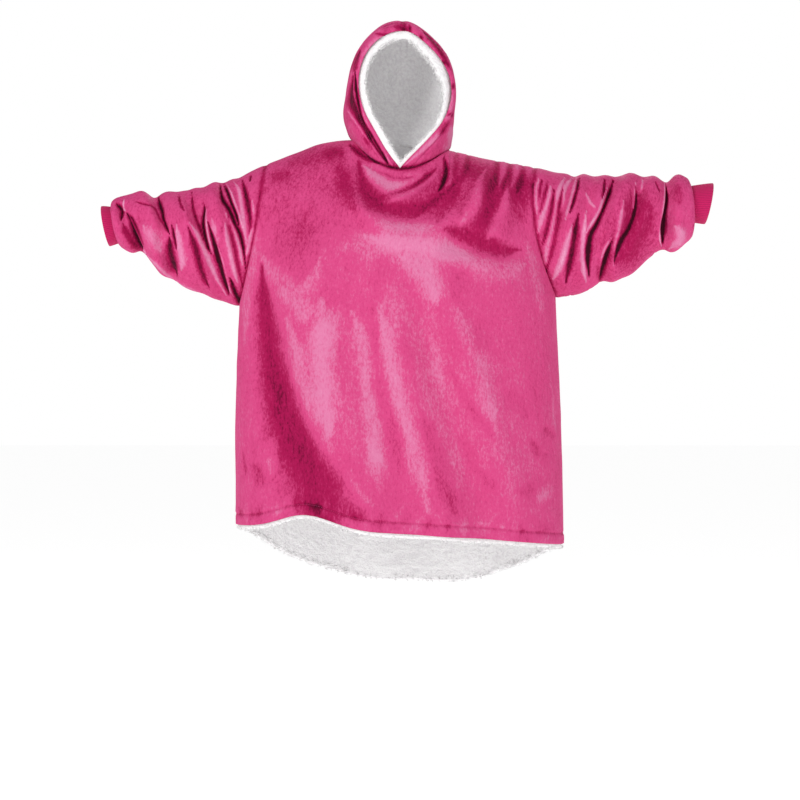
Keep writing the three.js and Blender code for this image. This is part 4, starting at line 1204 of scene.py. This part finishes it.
# %% Relief of the plush
PILE = 2.4
SEAM_REACH = 7  # how fast the cloth rises beside a seam
SEAM_SHADE = 6  # how far a seam's painted shade reaches
# Painted shade in the groove of each seam: the body's top and side seams, the sleeve's ends, and the
# hood's crown and neck.
SEAM_DARK = dict(top=1.7, side=0.8, sleeve=0.9, crown=0.8, neck=1.5)
HEM_CALM = 10, 60  # strokes begin to press the cloth between these heights above the hem
ROW_STEP = 6
SIDE_STEPS, NECK_STEPS = {-1: 84, 1: 64}, 40
HEM_ROWS = np.concatenate([np.arange(0, 15, 3), np.linspace(15, 31, 9), [35, 40, 46]])
STITCH_ROW = int(np.argmin(np.abs(HEM_ROWS - BAND)))
PUCKER_SIZE, PUCKER_DEPTH = 15, 1.8
STITCH_DEPTH, STITCH_GROOVE = 2.0, 3.2
# painted shade and highlights on the puckers, and painted shade in the stitched groove
PUCKER_TONE, GROOVE_TONE = 0.75, 0.4
# The tone of each plush piece's inner face and cut edge, darker than its outside, and how tufted the
# sherpa on that inner face reads for its painted shade.
EDGE_TONE, INNER_TUFT = -0.6, 0.6
PANEL_DENTS = dict(height=1.1, size=38, salt=5)
SLEEVE_DENTS = dict(height=1.0, size=24, salt=8)
HOOD_DENTS = dict(height=1.2, size=34, salt=21)
FRONT_LINING_TOP = -335  # the front's own lining ends at the armpits, and above it the wall shows


def sewn(distance):
    """0 in a seam and 1 away from it."""
    return 1 - bell(distance / SEAM_REACH)


def shaded(distance):
    """1 in a seam, where painted shade darkens its groove, and 0 away from it."""
    return bell(distance / SEAM_SHADE)


def dents(points, height, size, salt):
    """Broad, shallow dents of cloth that has been folded and sat on."""
    return height * soft_noise(points, size, salt)


def stitched_band(points, distance, band):
    """Height and tone of a turned edge: a groove on the stitch line, with painted shade in it, and
    puckers that start from it, with painted shade where they dip and painted highlights where they
    rise."""
    groove = bell((distance - band) / STITCH_GROOVE)
    pucker = soft_noise(points * (1, 0.6, 0.4), PUCKER_SIZE, 11) * bell((distance - band) / (0.8 * band))
    height = PUCKER_DEPTH * pucker - STITCH_DEPTH * groove + bell((distance - band / 2) / (band / 2))
    return height, PUCKER_TONE * pucker - GROOVE_TONE * groove


def dressed(name, points, out, flip, nap_and_shade, closed=False, sherpa_above=math.inf):
    """A plush piece with its nap and painted shade. Its inner face is sherpa above the given height.

    The wall keeps the directions of the smooth form under the folds, so that the inner face
    never crosses the outer one in a sharp fold."""
    skin, faces, _, count = cloth_skin(points, out, FLANNEL, closed, 1, flip)
    spread = np.full(len(skin), EDGE_TONE)
    spread[:count] = nap_and_shade.ravel()
    cells = grid_faces(*points.shape[:2], closed)
    index = np.zeros(len(faces), np.int32)
    index[len(cells) : 2 * len(cells)] = points[..., 2].ravel()[cells].mean(1) > sherpa_above
    values = dict(nap_and_shade=spread, tuft=np.full(len(skin), INNER_TUFT))
    materials = [plush, sherpa] if index.any() else [plush]
    return make_mesh(name, skin, faces, values, materials, index)


def edges_of(points):
    """How far each point is from the nearer side edge, from the top edge and from the bottom one."""
    to_side = np.minimum(walked(points, 1), walked(points, 1, back=True))
    return to_side, walked(points, 0, back=True), walked(points, 0)


# %% [markdown]
# The front and the back are each one piece of plush that hangs from the shoulders and ends in a
# turned hem. A cloth simulation could let a plain sheet fall into place, but it would need a
# shape to fall on, and the result would change with each try. So each panel is the surface
# above, read on a fine grid, then raised by its strokes, its hem band and some broad dents.

# %% Front and back
body_grids = {}
panels = {}
for face, name in ((-1, "front_cloth"), (1, "back_cloth")):
    across, level = panel_grid(face, SIDE_STEPS[face], NECK_STEPS, HEM_ROWS, ROW_STEP)
    points = body_surface(face, across, level)
    out = facing(points, -face)
    to_side, to_top, to_hem = edges_of(points)
    tone, lift = painted_strokes(STROKES[face], points, **PANEL_BRUSH)
    for strength, *line in SHADES[face]:
        tone += strength * stroke(points[..., 0], points[..., 2], line)
    rise = (PILE + lift * ease(to_hem, *HEM_CALM)) * sewn(to_side) * sewn(to_top)
    band_height, band_tone = stitched_band(points, to_hem, BAND)
    rise += band_height * sewn(to_side)
    rise += dents(points, **PANEL_DENTS) * ease(to_side, 0, 30) * ease(to_top, 0, 30)
    points = points + out * rise[..., None]
    # painted shade in the seams, and painted shade and highlights on the hem band
    tone = tone + band_tone - SEAM_DARK["top"] * shaded(to_top) - SEAM_DARK["side"] * shaded(to_side)
    bare_above = FRONT_LINING_TOP if face < 0 else math.inf
    panels[face] = dressed(name, points, out, -face, tone, sherpa_above=bare_above)
    body_grids[face] = points, out

# %% [markdown]
# A sleeve is sewn to the armhole and gathered into its cuff. Displacing a plain tube by noise
# would give bark, not cloth, because real folds run round the sleeve and lean towards the
# shoulder. The tube already has its troughs and rolls. Here it gets the sharp strokes between
# them, and its two sewn ends are drawn in.

# %% Sleeves
sleeves = {}
for sign, name in ((-1, "right_sleeve_cloth"), (1, "left_sleeve_cloth")):
    points, out, tone, lift = sleeve_surface(sign)
    to_body = walked(points, 0)
    to_cuff = walked(points, 0, back=True)
    rise = (PILE + lift + dents(points, **SLEEVE_DENTS)) * sewn(to_body) * sewn(to_cuff)
    points = points + out * rise[..., None]
    # painted shade in the seams at both ends
    tone = tone - SEAM_DARK["sleeve"] * shaded(to_body) - SEAM_DARK["sleeve"] * shaded(to_cuff)
    sleeves[sign] = dressed(name, points, out, -sign, tone, closed=True, sherpa_above=-math.inf)
    print(name, "circumference", np.round(np.linalg.norm(np.diff(points, axis=1), axis=-1).sum(1)[::30]))

# %% [markdown]
# The hood's face edge is turned back and stitched like the hem, and its halves meet in a seam
# over the crown. A subdivided box could be shaped into a hood, but its edge loops would not
# follow the band. This grid's first columns run along the face edge at fixed distances, so the
# band, its groove and its puckers keep their width all the way up.

# %% Hood
HOOD_BAND = 26
HOOD_BAND_PLACES = np.linspace(0, 30, 11)
# The hood's strokes, read from the front: painted shade in its folds and behind the face band, and painted
# highlights along their edges.
HOOD_STROKES = [
    (-1.2, (-105, 155, 7), (-110, 107, 8), (-102, 82, 8), (-92, 58, 8), (-77, 31, 8), (-60, 1, 8),
     (-43, -25, 6), (-28, -47, 4)),
    (-1.9, (-100, 165, 2), (-99, 131, 3), (-93, 92, 3), (-85, 58, 3), (-72, 33, 3), (-55, 4, 3),
     (-36, -28, 3), (-25, -47, 2)),
    (0.9, (-119, 87, 2), (-109, 67, 2), (-94, 43, 2), (-80, 21, 2), (-60, -8, 2), (-41, -33, 2),
     (-26, -50, 2)),
    (0.3, (-114, 50, 8), (-104, 20, 9), (-84, -8, 8)),
    (0.6, (-97, 131, 3), (-89, 82, 4), (-75, 45, 4), (-48, -4, 4), (-16, -52, 4)),
    (0.45, (-93, 165, 4), (-85, 199, 4), (-60, 231, 5), (-36, 248, 4)),
    (-0.8, (-56, 252, 3), (-38, 250, 3), (-20, 247, 3)),
    (-0.9, (-90, 216, 6), (-99, 187, 6), (-103, 165, 5)),
    (-0.5, (-11, 270, 6), (18, 262, 6)),
    (-1.0, (22, 272, 3), (23, 256, 3)),
    (-0.7, (50, 264, 4), (87, 221, 5), (110, 180, 5)),
    (0.5, (38, 250, 4), (74, 212, 4), (101, 165, 5), (113, 131, 5), (113, 82, 5), (101, 50, 5),
     (74, 9, 5), (38, -25, 5), (8, -52, 4)),
    (-1.0, (45, 249, 3), (50, 242, 3)),
    (-1.2, (95, 190, 3), (103, 186, 3)),
    (-1.0, (119, 138, 3), (119, 128, 3)),
    (-1.3, (104, 70, 3), (120, 71, 2)),
    (-0.8, (106, 55, 6), (98, 40, 7), (91, 26, 6)),
    (0.7, (113, 45, 9), (112, 9, 10), (98, -12, 9)),
]
HOOD_BRUSH = dict(least=1.2, share=0.25, spread=1.3, border=FIRM_BORDER, core=0.5)
HOOD_STEPS = 60, 80  # from the band to the seam, and from the neck to the crown
# A painted shade that darkens the whole hood.
HOOD_PAINTED_SHADE = -0.2
HOOD_FRONT = -10, 30  # the strokes were read from the front, and fade out between these depths
NECK_SHADE = 8  # how far the painted shade of the neck seam reaches
HOOD_LOWEST = -1.5  # the plush may dip this far, and then meets the pile under it
hoods = {}
hood_grids = {}


def hood_edges(points):
    """How far each point is from the face opening, from the neck and from the crown's seam."""
    to_seam = np.minimum(walked(points, 1, back=True), walked(points, 0, back=True))
    return walked(points, 1), walked(points, 0), to_seam


for sign, name in ((-1, "right_hood_cloth"), (1, "left_hood_cloth")):
    back, rise_share = hood_grid(sign, HOOD_BAND_PLACES, *HOOD_STEPS)
    points = hood_surface(sign, back, rise_share)
    out = facing(points, sign)
    to_face, to_neck, to_seam = hood_edges(points)
    tone, lift = painted_strokes(HOOD_STROKES, points, **HOOD_BRUSH)
    in_front = 1 - ease(points[..., 1], *HOOD_FRONT)
    rise = (PILE + lift * in_front) * sewn(to_seam) * sewn(to_neck)
    band_height, band_tone = stitched_band(points, to_face, HOOD_BAND)
    rise += band_height * sewn(to_neck)
    rise += dents(points, **HOOD_DENTS) * ease(to_face, 20, 60) * ease(to_seam, 0, 30)
    points = points + out * np.maximum(rise, HOOD_LOWEST)[..., None]
    # painted shade in the crown seam and the neck seam
    seams = SEAM_DARK["crown"] * shaded(to_seam) + SEAM_DARK["neck"] * bell(to_neck / NECK_SHADE)
    tone = tone * in_front + band_tone + HOOD_PAINTED_SHADE - seams
    hoods[sign] = dressed(name, points, out, sign, tone)
    hood_grids[sign] = points, out

# %% [markdown]
# ## Ribbed cuffs
# The knit stands in ribs that run along the sleeve. A bump map would leave the cuff's edge
# smooth, so the ribs are real: the columns are spaced evenly round the cuff, six to a rib, and
# each is raised by a cosine of its place.

# %% Cuffs
RIBS, RIB_STEPS, CUFF_ROWS = 64, 6, 14
RIB_HEIGHT = 0.7
cuffs = {}
for sign, name in ((-1, "right_cuff_knit"), (1, "left_cuff_knit")):
    fine = np.linspace(0, 2, 1001)
    middle_ring = {key: np.full(1001, value[1]) for key, value in CUFFS[sign].items()}
    ring_line = ring_points(sign, middle_ring, fine)
    length = np.concatenate([[0], np.cumsum(np.linalg.norm(np.diff(ring_line, axis=0), axis=1))])
    count = RIBS * RIB_STEPS
    around = np.interp(np.arange(count) / count * length[-1], length, fine)
    around, along = np.meshgrid(around, np.linspace(0, 1, CUFF_ROWS + 1))
    points = ring_points(sign, ring_at(CUFFS[sign], along), around)
    out = facing(points, -sign, True)
    rib = (0.5 + 0.5 * np.cos(np.arange(count) / RIB_STEPS * 2 * np.pi)) * np.ones_like(along)
    end = ease(along, 0.8, 1) + ease(1 - along, 0.85, 1)
    points = points + out * (RIB_HEIGHT * rib * (1 - 0.5 * end))[..., None]
    skin, faces, _, size = cloth_skin(points, out, KNIT, True, 2, -sign)
    # rib feeds the knit's painted shade: 1 on the rib crests of the outside, turned over on the inner face
    spread = np.concatenate([rib.ravel(), 1 - rib.ravel(), np.full(len(skin) - 2 * size, 0.7)])
    cuffs[sign] = make_mesh(name, skin, faces, dict(rib=spread), [rib_knit])

# %% [markdown]
# ## Sherpa
# Hair strands could make pile, but millions of them would be needed, and they are no solid mesh.
# Here the pile is a thick layer whose inner face and free edge are made of tufts. Each tuft is a
# round hump about eight millimetres wide, with smaller humps on it.


# %% Pile
EDGE_STEPS = 5
TUFT, TUFT_HEIGHT = 8, 2.8
CURL, CURL_HEIGHT = 3.6, 1.3
RIM_WIDTHS = table(
    "rise right left", (0, 15, 14), (0.25, 23, 18), (0.5, 25, 28), (0.75, 23, 24), (1, 19, 19)
)
NECK_OVERHANG, NECK_DROOP = 4, 4  # how far in and down the hood's pile hangs over the back neck
SEAM_SINK = 0.8  # the pile lies this much deeper in a seam
MITRE_REACH = dict(body=14, hood=16)  # how far from a seam its pile still turns into the seam's plane
PILE_CURLY = dict(body=9, hood=27)  # how far from its free edge a pile carries curls
FAR = 99.0


def pile(name, points, out, flip, depth, shift, from_edge, curly):
    """A pile layer under the given surface, with its outer face left smooth against the cloth.

    `shift` moves the layer's free edge past the edge of the cloth. The points that are closer to
    that edge than `curly` are kept, to carry curls."""
    under = points - out * (FLANNEL + SEAM_GAP) + shift
    skin, faces, directions, count = cloth_skin(under, out, depth, False, EDGE_STEPS, flip)
    big, small = clumps(skin, TUFT, 3), clumps(skin, CURL, 7)
    height = (big - 0.35) * TUFT_HEIGHT + (small - 0.35) * CURL_HEIGHT
    height[:count] = 0
    # tuft feeds the sherpa's painted shade: 1 on the tufts, less in the valleys between them
    tuft = np.clip(0.25 + 0.75 * big + 0.3 * small, 0, 1)
    skin = skin + directions * height[:, None]
    loop = edge_loops(*points.shape[:2], False)[0]
    owner = np.concatenate([np.arange(count), np.arange(count), np.tile(loop, EDGE_STEPS)])
    carries = from_edge.ravel()[owner] < curly
    carries[:count] = False
    made = make_mesh(name, skin, faces, dict(tuft=tuft), [sherpa])
    return made, skin[carries], directions[carries]


linings = {}
pile_points = {}
PILE_SIDE_STEPS, PILE_NECK_STEPS = 56, 30
HOOD_PILE_BAND = np.arange(0, 36, 2.25)  # the places of the hood pile's first columns
HOOD_PILE_STEPS = 60, 130
# face, name, height of the finely divided hem, row step above it, and whether it reaches the neck
BODY_PILES = (-1, "front_pile", 33, 9, False), (1, "back_pile", 93, 8, True)
for face, name, fine_to, step, reaches_top in BODY_PILES:
    hem_rows = np.append(np.arange(0, fine_to - 3, 3.0), fine_to)
    across, level = panel_grid(face, PILE_SIDE_STEPS, PILE_NECK_STEPS, hem_rows, step, reaches_top)
    points = body_surface(face, across, level)
    out = facing(points, -face)
    to_side, to_end, to_hem = edges_of(points)
    to_top = to_end if reaches_top else np.full(to_side.shape, FAR)
    _, lift = painted_strokes(STROKES[face], points, **PANEL_BRUSH)
    pressed = lift * ease(to_hem, *HEM_CALM) * sewn(to_side) * sewn(to_top)
    points = points + out * pressed[..., None]
    on_shoulder = ease(np.abs(across), 0.2, NECK_SHARE)
    near_side, near_top = (1 - ease(to_edge, 0, MITRE_REACH["body"]) for to_edge in (to_side, to_top))
    near_seam = np.maximum(near_side, near_top * on_shoulder)
    out = mitred(out, np.array([0.0, 1, 0]), near_seam)
    drop = LINING_PEEP * (1 - ease(to_hem, 0, 22)) + TOP_DROP * (1 - ease(to_top, 0, 16))
    shift = np.stack([0 * drop, 0 * drop, -drop], -1)
    linings[face], *pile_points[name] = pile(
        name, points, out, -face, BODY_SHERPA, shift, to_hem, PILE_CURLY["body"]
    )

hood_linings = {}
for sign, name in ((-1, "right_hood_pile"), (1, "left_hood_pile")):
    back, rise_share = hood_grid(sign, HOOD_PILE_BAND, *HOOD_PILE_STEPS)
    points = hood_surface(sign, back, rise_share)
    out = facing(points, sign)
    to_face, to_neck, to_seam = hood_edges(points)
    turn = HOOD_TURN * ease(np.sin(rise_share * np.pi / 2) ** 1.2, 0, 0.35)
    plane = np.stack([np.cos(turn), np.sin(turn), 0 * turn], -1)
    out = mitred(out, plane, 1 - ease(to_seam, 0, MITRE_REACH["hood"]))
    inward = unit(points[:, :1] - points[:, 1:2])
    width = curve_through(RIM_WIDTHS, "right" if sign < 0 else "left", "rise", rise_share)
    roll = (width - HOOD_SHERPA / 2) * (1 - ease(to_face, 0, 34)) * ease(to_neck, 0, 25)
    lap = (1 - ease(to_neck, 0, 12)) * ease(back, 0.45, 0.7)
    from_middle = unit(points[:1] * (1, 1, 0))
    shift = inward * roll[..., None] - from_middle * NECK_OVERHANG * lap[..., None]
    shift = shift - np.stack([0 * roll, 0.35 * roll, NECK_DROOP * lap], -1)
    shift = shift - out * (SEAM_SINK * bell(to_seam / 6))[..., None]
    curly_from = np.where(np.minimum(to_neck, to_seam) > 14, to_face, FAR)
    hood_linings[sign], *pile_points[name] = pile(
        name, points, out, sign, HOOD_SHERPA, shift, curly_from, PILE_CURLY["hood"]
    )

# %% [markdown]
# The tufts at the free edges end in small curls that stand out against what is behind them. Each
# curl is a thin tube bent round in most of a circle. It starts from a point of the pile and
# leans out of it. Stitches use the same tube, almost straight and sunk into the groove of their
# band, so one function makes both.


# %% Thin tubes
def tubes(name, paths, radius, material):
    """One mesh of four-sided tubes, one along each row of points, with narrower closed ends."""
    count, steps = paths.shape[:2]
    along = unit(np.gradient(paths, axis=1))
    side = unit(np.cross(along, paths[:, -1:] - paths[:, :1] + (0.31, 0.17, 0.23)))
    other = np.cross(along, side)
    taper = radius * np.where(np.isin(np.arange(steps), (0, steps - 1)), 0.5, 1.0)[None, :, None]
    corners = [side, other, -side, -other]
    points = np.stack([paths + corner * taper for corner in corners], 2)
    at = np.arange(count * steps * 4).reshape(count, steps, 4)
    after = np.roll(at, -1, 2)
    walls = np.stack([at[:, :-1], after[:, :-1], after[:, 1:], at[:, 1:]], -1).reshape(-1, 4)
    ends = np.vstack([at[:, 0, ::-1], at[:, -1]])
    points = points.reshape(-1, 3)
    return make_mesh(name, points, np.vstack([walls, ends]), dict(tuft=np.ones(len(points))), [material])


CURL_RADII, CURL_TURN, CURL_STEPS = (1.3, 2.5), 290, 6
CURL_ROOT, CURL_RISE, CURL_THREAD = 1.2, 1.25, 0.85
STITCH, STITCH_PITCH, STITCH_THREAD = 3.2, 4.4, 0.45
STITCH_ARCH = (0, -0.5), (0.2, 0.35), (0.8, 0.35), (1, -0.5)  # share of its length, height


def curls(name, roots, outward, salt):
    """Curls that leave the given points: p + r (1 - cos a) out + r sin a aside, for a rising from 0
    to the full turn."""
    cells = np.floor(roots * 7).astype(np.int64)
    spin, size, lean = (cell_value(cells, salt + k)[:, None] for k in range(3))
    axis = np.stack([np.cos(20 * spin), np.sin(20 * spin), np.cos(33 * spin)], -1).reshape(-1, 3)
    aside = unit(np.cross(outward, axis))
    r = mix(*CURL_RADII, size)[..., None]
    a = np.linspace(0, math.radians(CURL_TURN), CURL_STEPS)[None, :, None]
    start = (roots - outward * CURL_ROOT)[:, None]
    up = unit(outward + aside * (lean - 0.5))[:, None]
    paths = start + up * (r * (1 - np.cos(a)) * CURL_RISE) + aside[:, None] * (r * np.sin(a))
    return tubes(name, paths, CURL_THREAD, sherpa)


def stitched(name, line, out):
    """Stitches along a line: equal steps by arc length, each a short arch over the cloth."""
    run = np.concatenate([[0], np.cumsum(np.linalg.norm(np.diff(line, axis=0), axis=1))])
    starts = np.arange(2, run[-1] - STITCH - 2, STITCH_PITCH)
    share, height = np.array(STITCH_ARCH).T
    at = starts[:, None] + share * STITCH
    paths = np.stack([np.interp(at, run, line[:, k]) for k in range(3)], -1)
    normal = np.stack([np.interp(at, run, out[:, k]) for k in range(3)], -1)
    return tubes(name, paths + unit(normal) * height[:, None], STITCH_THREAD, plush)


# %% [markdown]
# Curls stand only along the edges that show: the hem and the round opening of the hood.
# Particles could scatter them, but they would need a seed and would not become part of the mesh.
# Instead, a hash of each point's place decides whether it carries one. The stitches follow the
# grooves that the bands already have.

# %% Curls and stitches
extras = []
for name, keep, sheet in (
    ("front_pile", 0.5, linings[-1]), ("back_pile", 0.42, linings[1]),
    ("right_hood_pile", 0.5, hood_linings[-1]), ("left_hood_pile", 0.5, hood_linings[1]),
):
    roots, directions = pile_points[name]
    chosen = cell_value(np.floor(roots * 5).astype(np.int64), 61) < keep
    made = curls(name.replace("pile", "curls"), roots[chosen], directions[chosen], 70)
    extras.append((made, "sherpa", sheet))

for face, name in ((-1, "front_hem_stitches"), (1, "back_hem_stitches")):
    points, out = body_grids[face]
    made = stitched(name, points[STITCH_ROW], out[STITCH_ROW])
    extras.append((made, "plush", panels[face]))
band_column = int(np.argmin(np.abs(HOOD_BAND_PLACES - HOOD_BAND)))
for sign, name in ((-1, "right_hood_stitches"), (1, "left_hood_stitches")):
    points, out = hood_grids[sign]
    made = stitched(name, points[:, band_column], out[:, band_column])
    extras.append((made, "plush", hoods[sign]))

# %% [markdown]
# ## What each piece stands for
# Every piece rides on the part's one body and hides the plain node that it replaces. Each could
# be given its own block of calls. One table keeps them together, with each one's finish and the
# size that each sheet of cloth was cut to, so that a wrong number is easy to see.

# %% Bodies and hidden nodes
BODY = "root"
MADE = [
    (panels[-1], "plush", "front_panel", (0.95, 0.92), 0.78, "draped", ["hood_left", "hood_right"]),
    (panels[1], "plush", "back_panel", (0.97, 1.06), 0.88, "draped", ["hood_left", "hood_right"]),
    (linings[-1], "sherpa", "front_lining", (0.93, 0.58), 0.52, "draped", ["front_panel"]),
    (linings[1], "sherpa", "back_lining", (0.96, 1.06), 0.88, "draped", ["back_panel"]),
    (sleeves[1], "plush", "sleeve_left", (0.80, 0.50), 0.30, "gathered", ["front_panel", "back_panel"]),
    (sleeves[-1], "plush", "sleeve_right", (0.80, 0.48), 0.28, "gathered", ["front_panel", "back_panel"]),
    (cuffs[1], "rib_knit", "cuff_left", (0.25, 0.052), None, "stretched", ["sleeve_left"]),
    (cuffs[-1], "rib_knit", "cuff_right", (0.235, 0.036), None, "stretched", ["sleeve_right"]),
    (hoods[1], "plush", "hood_left", (0.36, 0.34), 0.105, "draped", ["back_panel"]),
    (hoods[-1], "plush", "hood_right", (0.36, 0.34), 0.105, "draped", ["back_panel"]),
    (hood_linings[1], "sherpa", "hood_lining_left", (0.36, 0.34), 0.105, "draped", ["hood_left"]),
    (hood_linings[-1], "sherpa", "hood_lining_right", (0.36, 0.34), 0.105, "draped", ["hood_right"]),
]
for made, slot, node, flat, area, held, rests_on in MADE:
    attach(made, BODY)
    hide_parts(node)
for made, slot, _ in extras:
    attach(made, BODY)


def triangles(made):
    """How many triangles a mesh is drawn with."""
    sides = np.empty(len(made.data.polygons), np.int32)
    made.data.polygons.foreach_get("loop_total", sides)
    return int((sides - 2).sum())


def cloth_area(made):
    """Half of a thin skin's surface, in square metres: the size of the cloth."""
    areas = np.empty(len(made.data.polygons), np.float32)
    made.data.polygons.foreach_get("area", areas)
    return float(areas.sum() / 2)


everything = [row[0] for row in [*MADE, *extras]]
for made in everything:
    print(f"{made.name}: {triangles(made)} triangles, cloth {cloth_area(made):.3f} m2")
print("triangles in all:", sum(triangles(made) for made in everything))
